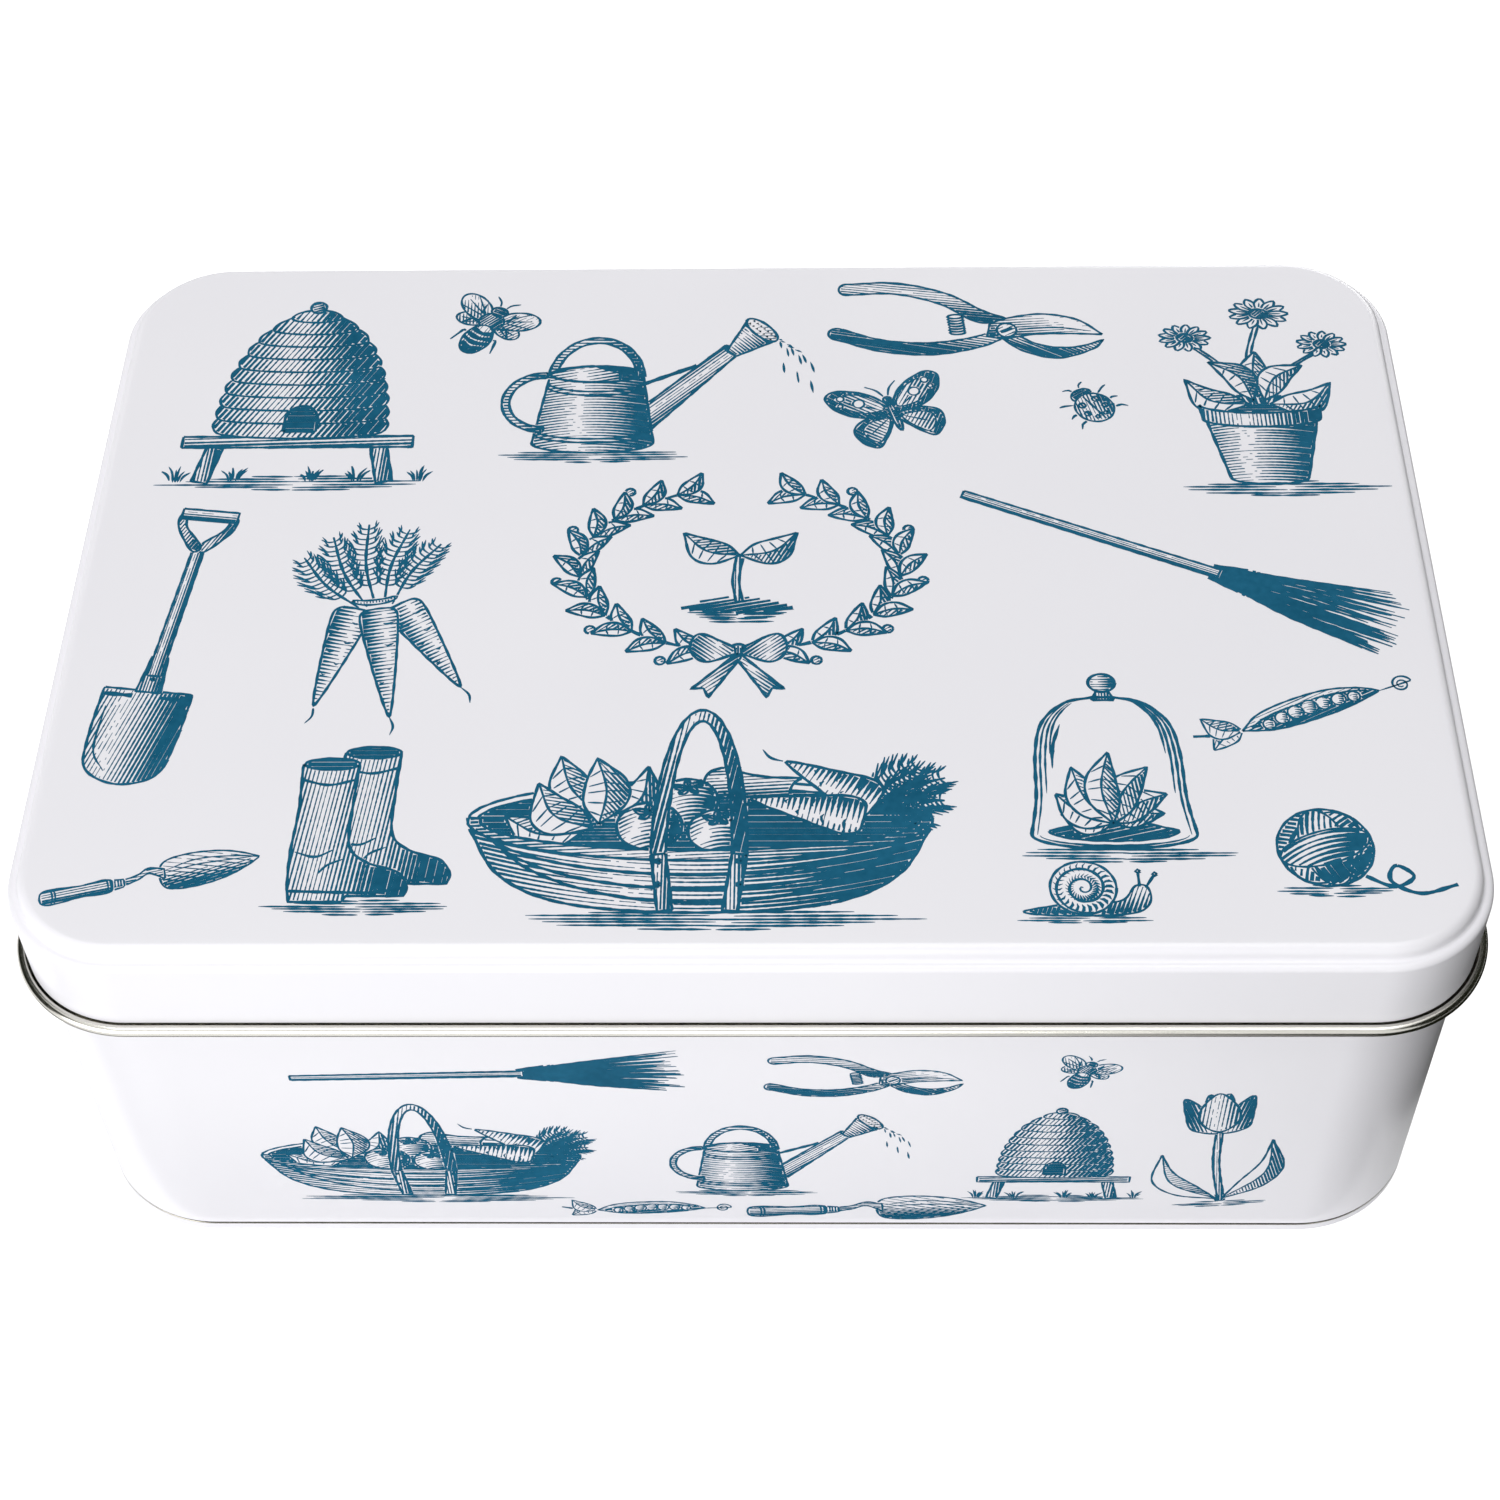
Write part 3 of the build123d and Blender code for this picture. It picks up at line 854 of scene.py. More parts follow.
# Blue-green offset ink: a thin film, stoved on the lacquer. It shows the faint mottle of the
# rollers and dries matt, so that it keeps its colour where the white round it shines.
ink, tree = new_material("blue-green printing ink")
place = node(tree, "ShaderNodeTexCoord")
mottle = node(
    tree, "ShaderNodeTexNoise", {"Scale": 1 / (1.5 * MM), "Detail": 3.0}, Vector=place.outputs["Object"],
)
drift = node(
    tree, "ShaderNodeTexNoise", {"Scale": 1 / (12 * MM), "Detail": 1.0}, Vector=place.outputs["Object"],
)
load = node(tree, "ShaderNodeMix", {"Factor": 0.5}, A=mottle.outputs["Fac"], B=drift.outputs["Fac"])
spread = node(tree, "ShaderNodeMapRange", {"From Min": 0.35, "From Max": 0.65}, Value=load.outputs[0])
colour = node(
    tree, "ShaderNodeMix", {"data_type": "RGBA", 6: linear("#125470"), 7: linear("#1D6280")},
    Factor=spread.outputs["Result"],
)
gloss = node(tree, "ShaderNodeMapRange", {"To Min": 0.3, "To Max": 0.4}, Value=mottle.outputs["Fac"])
shader = node(
    tree, "ShaderNodeBsdfPrincipled", {"IOR": 1.5, "Specular IOR Level": 0.05},
    Base_Color=colour.outputs[2], Roughness=gloss.outputs["Result"],
)
node(tree, "ShaderNodeOutputMaterial", Surface=shader.outputs["BSDF"])


def print_pictures(name, pictures, origin, right, up, body):
    """Prints pictures, each (picture, right, up, degrees, size) in millimetres, on one flat.
    The film's thickness steps from line to line, so that crossing lines seldom share a plane."""
    points, faces, count = [], [], 0
    for picture, x, y, degrees, size in pictures:
        art = Engraving(size)
        picture(art)
        for line, widths in art.strips:
            line = turned(line, degrees, (x, y), size)
            along = np.gradient(line, axis=0)
            side = np.stack([-along[:, 1], along[:, 0]], -1) / np.maximum(np.hypot(*along.T), 1e-9)[:, None]
            half = side * widths[:, None] * size / 2
            edges = np.hstack([line + half, line - half]).reshape(-1, 2)
            coat = INK_FILM * (1 - THINNER_BY * (len(points) % COATS) / COATS)
            points.append(np.hstack([edges, np.full((len(edges), 1), coat)]))
            left = count + 2 * np.arange(len(line) - 1)
            faces.append(np.stack([left + 1, left + 3, left + 2, left], -1))
            count += 2 * len(line)
    flat = np.vstack(points)
    out = np.cross(right, up)
    place = (flat[:, :1] * np.array(right) + flat[:, 1:2] * np.array(up)) * MM
    place = np.array(origin) + place + flat[:, 2:] * out
    data = bpy.data.meshes.new(name)
    data.from_pydata(place, [], np.vstack(faces))
    share = (flat - flat.min(axis=0))[:, :2] / np.ptp(flat, axis=0).max()
    corner = np.empty(len(data.loops), dtype=np.int32)
    data.loops.foreach_get("vertex_index", corner)
    data.uv_layers.new(name="OFBake").data.foreach_set("uv", share[corner].ravel())
    data.materials.append(ink)
    piece = put(name, data)
    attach(piece, body)


FRONT_PICTURES = (
    (trug, -60, 27, 0, 0.66),
    (broom, -49, 54.5, 2, 0.62),
    (pea_pod, -19, 8, 6, 0.46),
    (watering_can, 0, 27, 0, 0.62),
    (secateurs, 22, 53, -6, 0.5),
    (trowel, 21, 8, 3, 0.6),
    (bee, 58, 55, -20, 0.46),
    (beehive, 55, 29.5, 0, 0.58),
    (tulip, 84, 30, 6, 0.7),
)
BACK_PICTURES = (
    (beehive, -74, 31, 0, 0.6),
    (bee, -47, 54, -20, 0.46),
    (trowel, -46, 8.5, 3, 0.56),
    (potted_daisies, -27, 36, 0, 0.66),
    (trug, 41, 27, 0, 0.62),
    (broom, 36, 55, 2, 0.56),
    (tulip, 84, 30, -6, 0.68),
)
LEFT_PICTURES = ((watering_can, -24, 28, 0, 0.68), (secateurs, 22, 53, -6, 0.5), (boots, 30, 24, 0, 0.58))
RIGHT_PICTURES = ((beehive, -28, 31, 0, 0.64), (bee, 6, 52, -20, 0.48), (potted_daisies, 34, 31, 0, 0.72))
for name, pictures, origin, right in (
    ("wall_print_front", FRONT_PICTURES, (0, -wall_half_depth, 0), (1, 0, 0)),
    ("wall_print_back", BACK_PICTURES, (0, wall_half_depth, 0), (-1, 0, 0)),
    ("wall_print_left", LEFT_PICTURES, (-wall_half_width, 0, 0), (0, -1, 0)),
    ("wall_print_right", RIGHT_PICTURES, (wall_half_width, 0, 0), (0, 1, 0)),
):
    print_pictures(name, pictures, origin, right, (0, 0, 1), "tin")

# ---- Card dividers -----------------------------------------------------------------------
# Brown greyboard, die cut and slotted together at half height like an egg crate, so that the
# set lifts out. It stands on the base and is held by nothing but the walls.

PLY = 0.3 * MM
ALONG_BOARD = 12 * MM


# Brown greyboard: pulped waste paper pressed in plies, unbleached and uncoated. It is cloudy
# and fibrous on its faces with a few stray flecks, and shows its plies along a cut edge.
def greyboard(name, ply_scale):
    board, tree = new_material(name)
    place = node(tree, "ShaderNodeTexCoord")
    stretch = node(tree, "ShaderNodeMapping", {"Scale": ply_scale}, Vector=place.outputs["Object"])
    plies = node(tree, "ShaderNodeTexNoise", {"Scale": 1.0, "Detail": 1.0}, Vector=stretch.outputs["Vector"])
    fibre = node(
        tree, "ShaderNodeTexNoise", {"Scale": 1 / (0.6 * MM), "Detail": 4.0}, Vector=place.outputs["Object"],
    )
    cloud = node(
        tree, "ShaderNodeTexNoise", {"Scale": 1 / (9 * MM), "Detail": 2.0}, Vector=place.outputs["Object"],
    )
    fleck = node(tree, "ShaderNodeTexVoronoi", {"Scale": 1 / (2.2 * MM)}, Vector=place.outputs["Object"])
    pulp = node(tree, "ShaderNodeMix", {"Factor": 0.4}, A=fibre.outputs["Fac"], B=cloud.outputs["Fac"])
    layered = node(tree, "ShaderNodeMix", {"Factor": 0.35}, A=pulp.outputs[0], B=plies.outputs["Fac"])
    spread = node(tree, "ShaderNodeMapRange", {"From Min": 0.35, "From Max": 0.65}, Value=layered.outputs[0])
    brown = node(
        tree, "ShaderNodeMix", {"data_type": "RGBA", 6: linear("#8C7557"), 7: linear("#B8A27F")},
        Factor=spread.outputs["Result"],
    )
    speck = node(
        tree, "ShaderNodeMapRange", {"From Min": 0.16, "From Max": 0.1}, Value=fleck.outputs["Distance"],
    )
    speckled = node(
        tree, "ShaderNodeMix", {"data_type": "RGBA", 6: brown.outputs[2], 7: linear("#5E4C38")},
        Factor=speck.outputs["Result"],
    )
    bump = node(tree, "ShaderNodeBump", {"Strength": 0.5, "Distance": 0.06 * MM}, Height=layered.outputs[0])
    shader = node(
        tree, "ShaderNodeBsdfPrincipled", {"IOR": 1.5, "Roughness": 0.9},
        Base_Color=speckled.outputs[2], Normal=bump.outputs["Normal"],
    )
    node(tree, "ShaderNodeOutputMaterial", Surface=shader.outputs["BSDF"])
    return board


long_board = greyboard("brown greyboard, long board", (1 / ALONG_BOARD, 1 / PLY, 1 / ALONG_BOARD))
cross_board = greyboard("brown greyboard, cross boards", (1 / PLY, 1 / ALONG_BOARD, 1 / ALONG_BOARD))
for name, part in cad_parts.items():
    if "divider" in name:
        part.data.materials.clear()
        part.data.materials.append(long_board if name == "long_divider" else cross_board)

# ---- Lid ---------------------------------------------------------------------------------
# Drawn from one lacquered sheet. Round the raised panel runs a rounded crown, a hollow foot
# and a narrow ledge, then a rounded shoulder and the skirt. The skirt's lower edge is curled
# outwards, which turns the bare inside of the sheet out, as a bright bead.

lid_low, lid_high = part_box("lid")
LID_CORNER = 19.95 * MM
LID_BEAD = 2.2 * MM
SHOULDER, FOOT, CROWN = 1.1 * MM, 0.6 * MM, 1.95 * MM
LEDGE_FLAT = 0.25 * MM
PANEL_RISE = 2.5 * MM
PANEL_LAND = 1.5 * MM
bead_out = LID_BEAD / 2 - SHEET
lid_half_width = lid_high.x - LID_BEAD + SHEET
lid_half_depth = lid_high.y - LID_BEAD + SHEET
panel_z = lid_high.z - INK_FILM
ledge_z = lid_high.z - PANEL_RISE
bead_z = lid_low.z + LID_BEAD / 2
step = math.acos(1 - (PANEL_RISE - INK_FILM) / (FOOT + CROWN))
foot_x = -SHOULDER - LEDGE_FLAT
crown_x = foot_x - (FOOT + CROWN) * math.sin(step)
outer = [(crown_x - PANEL_LAND, panel_z)]
outer += arc((crown_x, panel_z - CROWN), CROWN, math.pi / 2, math.pi / 2 - step, 18)
outer += arc((foot_x, ledge_z + FOOT), FOOT, 1.5 * math.pi - step, 1.5 * math.pi, 10)[1:]
outer += arc((-SHOULDER, ledge_z - SHOULDER), SHOULDER, math.pi / 2, 0, 12)
outer += [(0, bead_z + LID_BEAD / 2), (0, bead_z)]
bare_from = len(outer) - 2
outer += arc((bead_out, bead_z), bead_out, math.pi, math.pi + BEAD_TURN, BEAD_STEPS)[1:]
inner = thicken(outer, inner_left=False)
section = outer + inner[::-1]
finish = [LACQUER] * bare_from + [TINPLATE] * (len(section) - bare_from - 1) + [None]
lid = wrap(
    "tin_lid", lid_half_width, lid_half_depth, LID_CORNER, section, finish,
    cap=((0, LACQUER), (len(section) - 1, TINPLATE)),
)
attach(lid, "lid")
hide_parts("lid")

# ---- Lid print ---------------------------------------------------------------------------
# The same ink and the same kind of engravings, scattered over the raised panel and turned
# about a little, with a sprout in a wreath in the middle.


def butterfly(art):
    art.part(ring((0, -1), 0.95, 5.6), tone=(0.6, 0.9), pitch=0.5)
    art.part(ring((0, 5.4), 1.1, 1.1), tone=(0.6, 0.9), pitch=0.45)
    fore = [(0.6, 3.4), (5, 9.2), (12, 12.4), (15.4, 10.4), (13.6, 5), (8, 0.8), (1, 0.4)]
    hind = [(1, 0.2), (7.4, 0.2), (11.6, -2.4), (11.4, -7), (8, -10.6), (5, -8.4), (1.4, -3.2)]
    for side in (-1, 1):
        art.line(smooth([(0.4 * side, 6.2), (1.8 * side, 9.4), (4.2 * side, 11.6)]), 0.34, ends=0.6)
        for spot, size in (((11.6, 9.4), 1.0), ((12.4, 6.8), 0.7), ((7.6, 6.2), 1.5)):
            art.part(ring((spot[0] * side, spot[1]), size, size), 0.3)
        for half in (fore, hind):
            wing = smooth(np.array(half) * (side, 1), closed=True)
            middle = wing.mean(axis=0)
            inner = (wing - middle) * 0.7 + middle * (0.9, 1)
            art.line([middle * 0.3, middle * 1.25], 0.25)
            art.part(inner, 0.3, angle=48 * side, lit=0.5 - 0.5 * side, tone=(0.1, 0.5), pitch=0.6)
            art.part(wing, angle=55 * side, lit=0.5 - 0.5 * side, tone=(0.6, 0.95), pitch=0.5)


def ladybird(art):
    for side in (-1, 1):
        for spot, size in (((2.6, 1.6), 1.1), ((3.4, -2.2), 1.0), ((1.5, -5), 0.8)):
            dot = ring((spot[0] * side, spot[1]), size, size)
            art.part(dot, 0.5, pitch=0.4, tone=(0.92, 0.92))
    art.line([(0, 4.6), (0, -7)], 0.5, ends=0.6)
    art.part(ring((0, -1.2), 5.9, 6.4), 0.45, angle=70, lit=0.35, tone=(0.1, 0.75), pitch=0.6)
    art.part(ring((0, 5.4), 3.5, 2.5), 0.45, pitch=0.42, tone=(0.8, 0.92))
    for side in (-1, 1):
        art.line(smooth([(1 * side, 7.4), (2 * side, 9.4), (3.8 * side, 10)]), 0.42, ends=0.6)
        for level, lift in ((3.2, 1.6), (-1, -0.4), (-4.4, -2.2)):
            art.line(
                [(4.8 * side, level), (7.6 * side, level + lift * 0.5 + 0.6), (9 * side, level + lift)],
                0.55, ends=0.4,
            )


def spade(art):
    art.part(rod((-7, 42), (7, 42), 3.4), across=90, lit=0.7, tone=(0.1, 0.9), pitch=0.5)
    for side in (-1, 1):
        arm = np.array([
            (5.6 * side, 40.6), (7.2 * side, 41.4), (6.6 * side, 37), (1.6 * side, 30), (-0.2 * side, 31.8),
            (4.6 * side, 37.4),
        ])
        art.part(smooth(arm, closed=True), angle=70, tone=(0.2, 0.85), pitch=0.5)
    art.line(ring((0, 31.6), 1.9, 0.7, 180, 360), 0.5)
    art.part(rod((0, 32), (0, -10), 2.9, 3.3), angle=90, lit=0.32, tone=(0.08, 0.95), pitch=0.42)
    strap = np.array([(-1.9, -4), (1.9, -4), (3.0, -15), (-3.0, -15)])
    for level in (-7, -11):
        art.line(ring((0, level), 0.5, 0.5), 0.5, closed=True)
    blade = joined(
        [(-10.4, -14.6), (10.4, -14.6)],
        smooth([(10.6, -15), (10.2, -30), (8.2, -39), (0, -42.4), (-8.2, -39), (-10.2, -30), (-10.6, -15)]),
    )
    art.part(strap, angle=90, lit=0.4, tone=(0.25, 0.9), pitch=0.45)
    for side in (-1, 1):
        art.line([(10.2 * side, -16.4), (3.4 * side, -16.4)], 0.9, ends=0.9)
    art.line(smooth([(-8.8, -20), (-8, -33), (-4, -39)]), 0.35)
    art.part(blade, angle=80, lit=0.28, tone=(0.06, 0.82), pitch=0.6)


def carrots(art):
    art.part(hoop((0, 2.4), 5.4, 2.0, 1.5, 180, 360), 0.36, angle=90, tone=(0.2, 0.5), pitch=0.45)
    for crown, degrees, length in (((0.5, -1), -88, 34), ((-5, 0), -110, 31), ((6, 0), -66, 31)):
        carrot(art, crown, degrees, length)
    for crown, degrees, length in (
        ((0, 0), 92, 27), ((-2, 0), 108, 25), ((2, 0), 74, 25), ((-4, 0), 126, 22), ((4, 0), 56, 22),
    ):
        feathers(art, crown, degrees, length)


def sprout(art, foot, size):
    x, y = foot
    for side in (-1, 1):
        art.leaf((x, y + 13 * size), (x + 12 * side * size, y + 19.5 * size), 7 * size, -0.16 * side)
    stem = smooth([(0, 0), (-0.8, 6), (0, 13)]) * size + foot
    art.part(stalk(stem, 0.7 * size), 0.36, angle=90, tone=(0.2, 0.6), pitch=0.5)
    mound = joined(
        smooth([(-13, -2.2), (-7, 0.4), (0, 1.4), (7, 0.3), (13, -2.2)]), [(0, -3.4)],
    ) * size + foot
    art.rule(mound, 12, 0.6, across=90, lit=1.0, tone=(0.3, 0.9))
    for k in range(3):
        art.ground(x - (15 - 3 * k) * size, x + (15 - 3 * k) * size, y - (2.4 + 1.2 * k) * size, 2)


def wreath(art):
    for side in (-1, 1):
        loop = smooth([(0.6, -21), (7.5, -17.4), (9.4, -21.4), (6.4, -24.6), (0.6, -22.6)]) * (side, 1)
        art.part(loop, 0.38, angle=40 * side, tone=(0.1, 0.7), lit=0.6, pitch=0.5)
        tail = np.array([
            (0.2, -22.4), (4.6, -27), (9, -31.4), (6.6, -31.2), (5.6, -33.6), (2.6, -28.6), (-0.6, -23.4),
        ]) * (side, 1)
        art.part(tail, 0.38, angle=-40 * side, tone=(0.1, 0.7), pitch=0.5)
    art.part(ring((0, -21.8), 1.9, 1.7), angle=90, tone=(0.3, 0.7), pitch=0.45)
    for side in (-1, 1):
        for k in range(11):
            turn = math.radians(-78 + 14.4 * k)
            spot = np.array([32 * math.cos(turn) * side, 22 * math.sin(turn)])
            along = np.array([-32 * math.sin(turn) * side, 22 * math.cos(turn)])
            along /= np.hypot(*along)
            out = np.array([along[1], -along[0]]) * side
            for way in (1, -1):
                art.leaf(spot, spot + along * 6.6 + out * way * 4.6, 3.5, 0.1 * way * side, veins=2)
            if k % 2:
                art.part(
                    ring(spot + out * 4.6 - along * 0.6, 1.0, 1.0), 0.36, angle=30, tone=(0.1, 0.7),
                    pitch=0.4,
                )
        art.line(ring((0, 0), 32, 22, 270, 270 + 165 * side), 0.7, ends=0.5)
    sprout(art, (0, -9), 0.95)


def cloche(art):
    for degrees, reach, wide in (
        (90, 19, 7), (118, 17, 7.4), (62, 17, 7.4), (146, 14, 7), (34, 14, 7), (166, 11, 6), (14, 11, 6),
    ):
        lean = math.radians(degrees)
        art.leaf((0, -14.6), (reach * math.cos(lean), -14.6 + reach * math.sin(lean)), wide, 0.1, veins=5)
    mound = joined(
        smooth([(-13.4, -16.4), (-6, -14.4), (0, -13.8), (6, -14.4), (13.4, -16.4)]),
        ring((0, -16.4), 13.4, 2.6, 0, -180),
    )
    art.part(mound, 0.4, angle=14, across=90, lit=1.0, tone=(0.35, 0.9), pitch=0.55)
    side = smooth([(2.2, 19.4), (8.4, 17.8), (13.4, 12.4), (15.2, 4), (15.6, -8), (17, -17.4)])
    glass = joined(side, ring((0, -17.4), 17, 3.6, 0, -180), (side * (-1, 1))[::-1])
    art.line(glass, 0.5, closed=True)
    for inset, reach in ((0.93, 1.0), (0.86, 0.8), (0.8, 0.62)):
        for way in (1, -1):
            start = 3 if way > 0 else 8
            art.line(
                (side * (inset * way, 1))[start : int(len(side) * reach)], 0.42 if way > 0 else 0.3,
                ends=0.2,
            )
    art.line(ring((0, -17.4), 15.4, 2.8, 184, 356), 0.34)
    art.line(smooth([(-9.6, 12), (-11.4, 6), (-11.8, 0)]), 0.6, ends=0.1)
    art.part(ring((0, 23.4), 2.9, 2.5), 0.45, tone=(0.1, 0.9), pitch=0.45)
    art.part(rod((0, 21.6), (0, 18.6), 2.2, 4.8), 0.4, angle=90, tone=(0.2, 0.8), pitch=0.4)
    art.ground(-23, 26, -20.6, 6)


def twine(art):
    centre, size = (0, 0), 11.5
    for tilt, squash, dark in ((18, 0.42, 0.55), (102, 0.5, 0.7), (58, 0.72, 0.6)):
        band = ring(centre, size * 0.99, size * squash, tilt=tilt)
        art.part(band, 0.34, angle=tilt, bow=2.6, across=-30, tone=(0.18, dark + 0.35), pitch=0.85)
    art.part(ring(centre, size, size), 0.45, angle=-32, bow=3, across=-30, tone=(0.2, 0.95), pitch=0.8)
    tail = smooth([(8, -8.2), (15, -11.6), (20, -8.6), (16, -5.4), (14.4, -10), (21, -13.6), (30, -11)])
    middle = len(tail) // 2
    art.line(tail[:middle], 0.8, ends=0.9)
    art.line(tail[middle - 1 :], 0.8, ends=0.9)
    art.ground(-15, 17, -11.4, 5)


def snail(art):
    turns = np.linspace(0.3, 5.4 * math.pi, 90)
    reach = 8.6 * (turns / turns[-1]) ** 1.25
    art.line(np.stack([reach * np.cos(turns + 0.6), reach * np.sin(turns + 0.6) + 7], -1), 0.6, ends=0.5)
    for k in range(26):
        turn = math.radians(360 / 26 * k)
        way = np.array([math.cos(turn), math.sin(turn)])
        dark = 0.5 + 0.28 * math.cos(turn + 0.9)
        for near, far in ((0.64, 0.96), (0.3, 0.56)):
            bend = np.array([-way[1], way[0]]) * 0.8
            rib = smooth([way * 8.9 * near, way * 8.9 * (near + far) / 2 + bend, way * 8.9 * far])
            art.line(rib + (0, 7), dark, ends=0.2)
    art.part(ring((0, 7), 9.2, 9.0), 0.5)
    body = smooth(
        [
            (-17, -1.2), (-10, 0.6), (-4, 1.4), (5, 1.8), (11, 3), (14.4, 7.6), (17.6, 7.4), (18.4, 3),
            (15.6, -0.8), (8, -2.2), (-8, -2.4),
        ],
        closed=True,
    )
    for foot, tip in (((15.6, 7.4), (15.4, 12.6)), ((17.2, 7), (20, 11.6))):
        art.line([foot, tip], 0.6, ends=0.7)
        art.part(ring(tip, 0.7, 0.7), 0.5)
    art.part(body, angle=70, across=90, lit=0.8, tone=(0.1, 0.85), pitch=0.6)
    art.ground(-22, 23, -2.6, 4)


LID_PICTURES = (
    (beehive, -87, 51, 0, 0.92),
    (bee, -53, 66, -28, 0.74),
    (watering_can, -28, 48, 0, 0.86),
    (secateurs, 45, 65, -10, 0.78),
    (butterfly, 27, 41, 18, 0.74),
    (potted_daisies, 97, 43, 0, 0.98),
    (ladybird, 65, 43, 35, 0.62),
    (spade, -105, -17, -7, 0.76),
    (carrots, -68, -8, 8, 0.76),
    (wreath, -2, 1, 0, 0.92),
    (broom, 74, 4, -24, 0.76),
    (boots, -72, -58, 0, 0.74),
    (trug, -8, -57, 0, 0.9),
    (cloche, 62, -46, 0, 0.82),
    (pea_pod, 98, -33, 24, 0.6),
    (twine, 97, -63, 0, 0.7),
    (snail, 56, -75.5, 0, 0.6),
    (trowel, -100, -69, 14, 0.5),
)
print_pictures("lid_print", LID_PICTURES, (0, 0, panel_z), (1, 0, 0), (0, 1, 0), "lid")

# ---- Table, light and camera -------------------------------------------------------------
# The tin stands on white paper, lit from the front left, from above and softly from behind.
# Black cards over it, to its left and right, and on the table at its right give the bead and the
# corners their darks. On the table in front lies a painted shade that only reflections see.

table_paper, tree = new_material("white table paper")
ray = node(tree, "ShaderNodeLightPath")
mirrored_ray = node(
    tree, "ShaderNodeMath",
    {"operation": "MAXIMUM", 0: ray.outputs["Is Glossy Ray"], 1: ray.outputs["Is Transmission Ray"]},
)
mirrored_lift = node(
    tree, "ShaderNodeMapRange", {"To Min": 0.0, "To Max": 0.25}, Value=mirrored_ray.outputs[0],
)
lift = node(
    tree, "ShaderNodeMix", {"B": 0.74}, Factor=ray.outputs["Is Camera Ray"],
    A=mirrored_lift.outputs["Result"],
)
sheet_white = node(tree, "ShaderNodeBsdfDiffuse", {"Color": linear("#F2F2F3")})
glow = node(tree, "ShaderNodeEmission", {"Color": (1, 1, 1, 1)}, Strength=lift.outputs[0])
both = node(tree, "ShaderNodeAddShader", {0: sheet_white.outputs["BSDF"], 1: glow.outputs["Emission"]})
node(tree, "ShaderNodeOutputMaterial", Surface=both.outputs["Shader"])

# The dark olive of the black cards, also used for the painted shade on the table in front.
FLAG_AND_PAINTED_SHADE_COLOUR = linear("#1C1E14")
flag_black, tree = new_material("black flag card")
shader = node(tree, "ShaderNodeEmission", {"Color": FLAG_AND_PAINTED_SHADE_COLOUR, "Strength": 1.0})
node(tree, "ShaderNodeOutputMaterial", Surface=shader.outputs["Emission"])

# Painted shade on the table in front of the tin, seen only in reflections. It is darkest next to the front
# wall and thins out towards the front and the left, so it paints dark reflections into the bead and the
# lower skirt, strongest towards the right.
reflected_table_shade, tree = new_material("black flag card, thinning out to the front and left")
spot = node(tree, "ShaderNodeNewGeometry")
along = node(tree, "ShaderNodeSeparateXYZ", Vector=spot.outputs["Position"])
shade_fading_ahead = node(
    tree, "ShaderNodeMapRange", {"From Min": -0.095, "From Max": -0.14}, Value=along.outputs["Y"],
)
shade_fading_left = node(tree, "ShaderNodeMapRange", {"From Min": 0.14, "From Max": 0.02}, Value=along.outputs["X"])
thin = node(
    tree, "ShaderNodeMath",
    {"operation": "MULTIPLY", 0: shade_fading_ahead.outputs["Result"], 1: shade_fading_left.outputs["Result"]},
)
black = node(tree, "ShaderNodeEmission", {"Color": FLAG_AND_PAINTED_SHADE_COLOUR, "Strength": 1.0})
gone = node(tree, "ShaderNodeBsdfTransparent", {"Color": (1, 1, 1, 1)})
shader = node(
    tree, "ShaderNodeMixShader",
    {0: thin.outputs[0], 1: black.outputs["Emission"], 2: gone.outputs["BSDF"]},
)
node(tree, "ShaderNodeOutputMaterial", Surface=shader.outputs["Shader"])


def card(name, place, size, aim, finish):
    """A flat rectangular sheet of the studio, turned to face aim."""
    half_x, half_y = size[0] / 2, size[1] / 2
    data = bpy.data.meshes.new(name)
    edge = [(-half_x, -half_y, 0), (half_x, -half_y, 0), (half_x, half_y, 0), (-half_x, half_y, 0)]
    data.from_pydata(edge, [], [(0, 1, 2, 3)])
    sheet = put(name, data)
    sheet.location = place
    sheet.rotation_euler = (Vector(aim) - Vector(place)).to_track_quat("Z", "Y").to_euler()
    data.materials.append(finish)
    return sheet


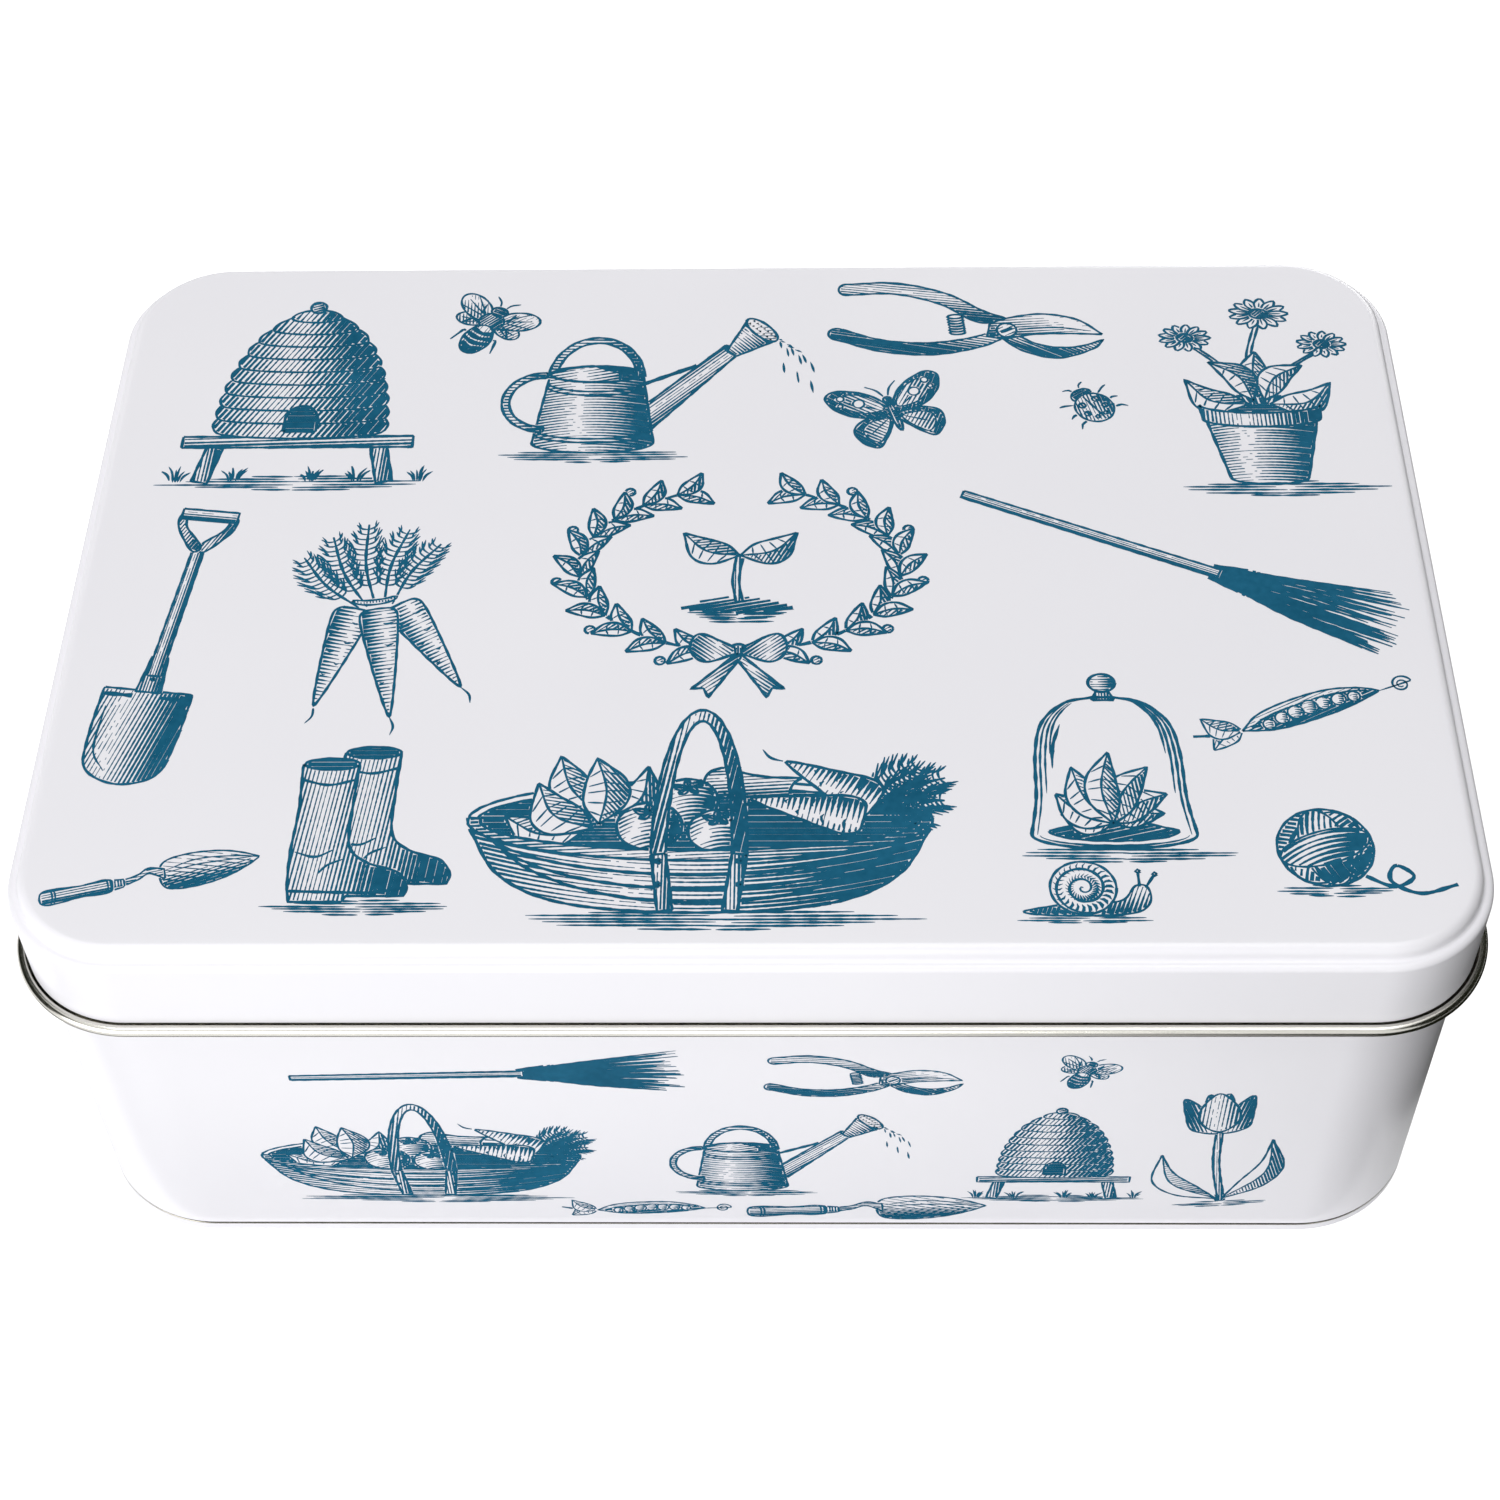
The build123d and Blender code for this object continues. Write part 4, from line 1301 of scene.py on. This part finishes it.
card("table", (0, 0, 0), (6, 6), (0, 0, 1), table_paper)
flags = (
    card("overhead flag", (0, 0.85, 1.1), (2.4, 1.1), (0, 0.85, 0), flag_black),
    card("left flag", (-1.1, 0.15, 0.6), (1.4, 1.1), (0, 0, 0.05), flag_black),
    card("right flag", (1.0, -0.1, 0.6), (2.0, 1.2), (0, 0, 0.05), flag_black),
    card("right floor flag", (0.635, 0.0, 0.002), (1.0, 1.1), (0.635, 0.0, 1), flag_black),
    # The last sheet is painted shade on the table, seen only in reflections.
    card("painted shade on the table in front", (0.15, -0.343, 0.003), (0.9, 0.514), (0.15, -0.343, 1), reflected_table_shade),
)
for flag in flags:
    flag.visible_camera = flag.visible_shadow = flag.visible_transmission = False
    flag.visible_diffuse = flag.name.startswith("right")

world = bpy.data.worlds.new("studio")
bpy.context.scene.world = world
world.use_nodes = True
tree = world.node_tree
tree.nodes.clear()
ray = node(tree, "ShaderNodeLightPath")
seen = node(
    tree, "ShaderNodeMath",
    {"operation": "MAXIMUM", 0: ray.outputs["Is Camera Ray"], 1: ray.outputs["Is Glossy Ray"]},
)
seen_through = node(
    tree, "ShaderNodeMath",
    {"operation": "MAXIMUM", 0: seen.outputs[0], 1: ray.outputs["Is Transmission Ray"]},
)
level = node(tree, "ShaderNodeMapRange", {"To Min": 0.3, "To Max": 1.0}, Value=seen_through.outputs[0])
sky = node(tree, "ShaderNodeBackground", {"Color": (1, 1, 1, 1)}, Strength=level.outputs["Result"])
node(tree, "ShaderNodeOutputWorld", Surface=sky.outputs["Background"])


def softbox(name, place, aim, size, watts):
    lamp = bpy.data.lights.new(name, "AREA")
    lamp.shape = "RECTANGLE"
    lamp.size, lamp.size_y = size
    lamp.energy = watts
    box = put(name, lamp)
    box.location = place
    box.rotation_euler = (Vector(aim) - Vector(place)).to_track_quat("-Z", "Y").to_euler()


softbox("front left softbox", (-0.57, -1.08, 0.46), (-0.05, -0.05, 0.05), (1.5, 0.9), 12.2)
softbox("overhead softbox", (0.0, 0.0, 1.3), (0, 0, 0.05), (1.0, 1.0), 9.0)
softbox("back softbox", (0.45, 1.0, 0.30), (0, 0.05, 0.05), (0.6, 0.5), 3.0)

CAMERA_PLACE = Vector((10.68, -340.91, 461.5)) * MM
PAN, TILT, ROLL = math.radians(-1.98), math.radians(51.15), math.radians(-1.68)
lens = bpy.data.cameras.new("camera")
lens.lens = 66.15
lens.sensor_width = 36.0
camera = put("camera", lens)
turn = Matrix.Rotation(-PAN, 4, "Z") @ Matrix.Rotation(math.pi / 2 - TILT, 4, "X")
camera.matrix_world = Matrix.Translation(CAMERA_PLACE) @ (turn @ Matrix.Rotation(ROLL, 4, "Z"))
bpy.context.scene.camera = camera
bpy.context.scene.view_settings.view_transform = "Standard"
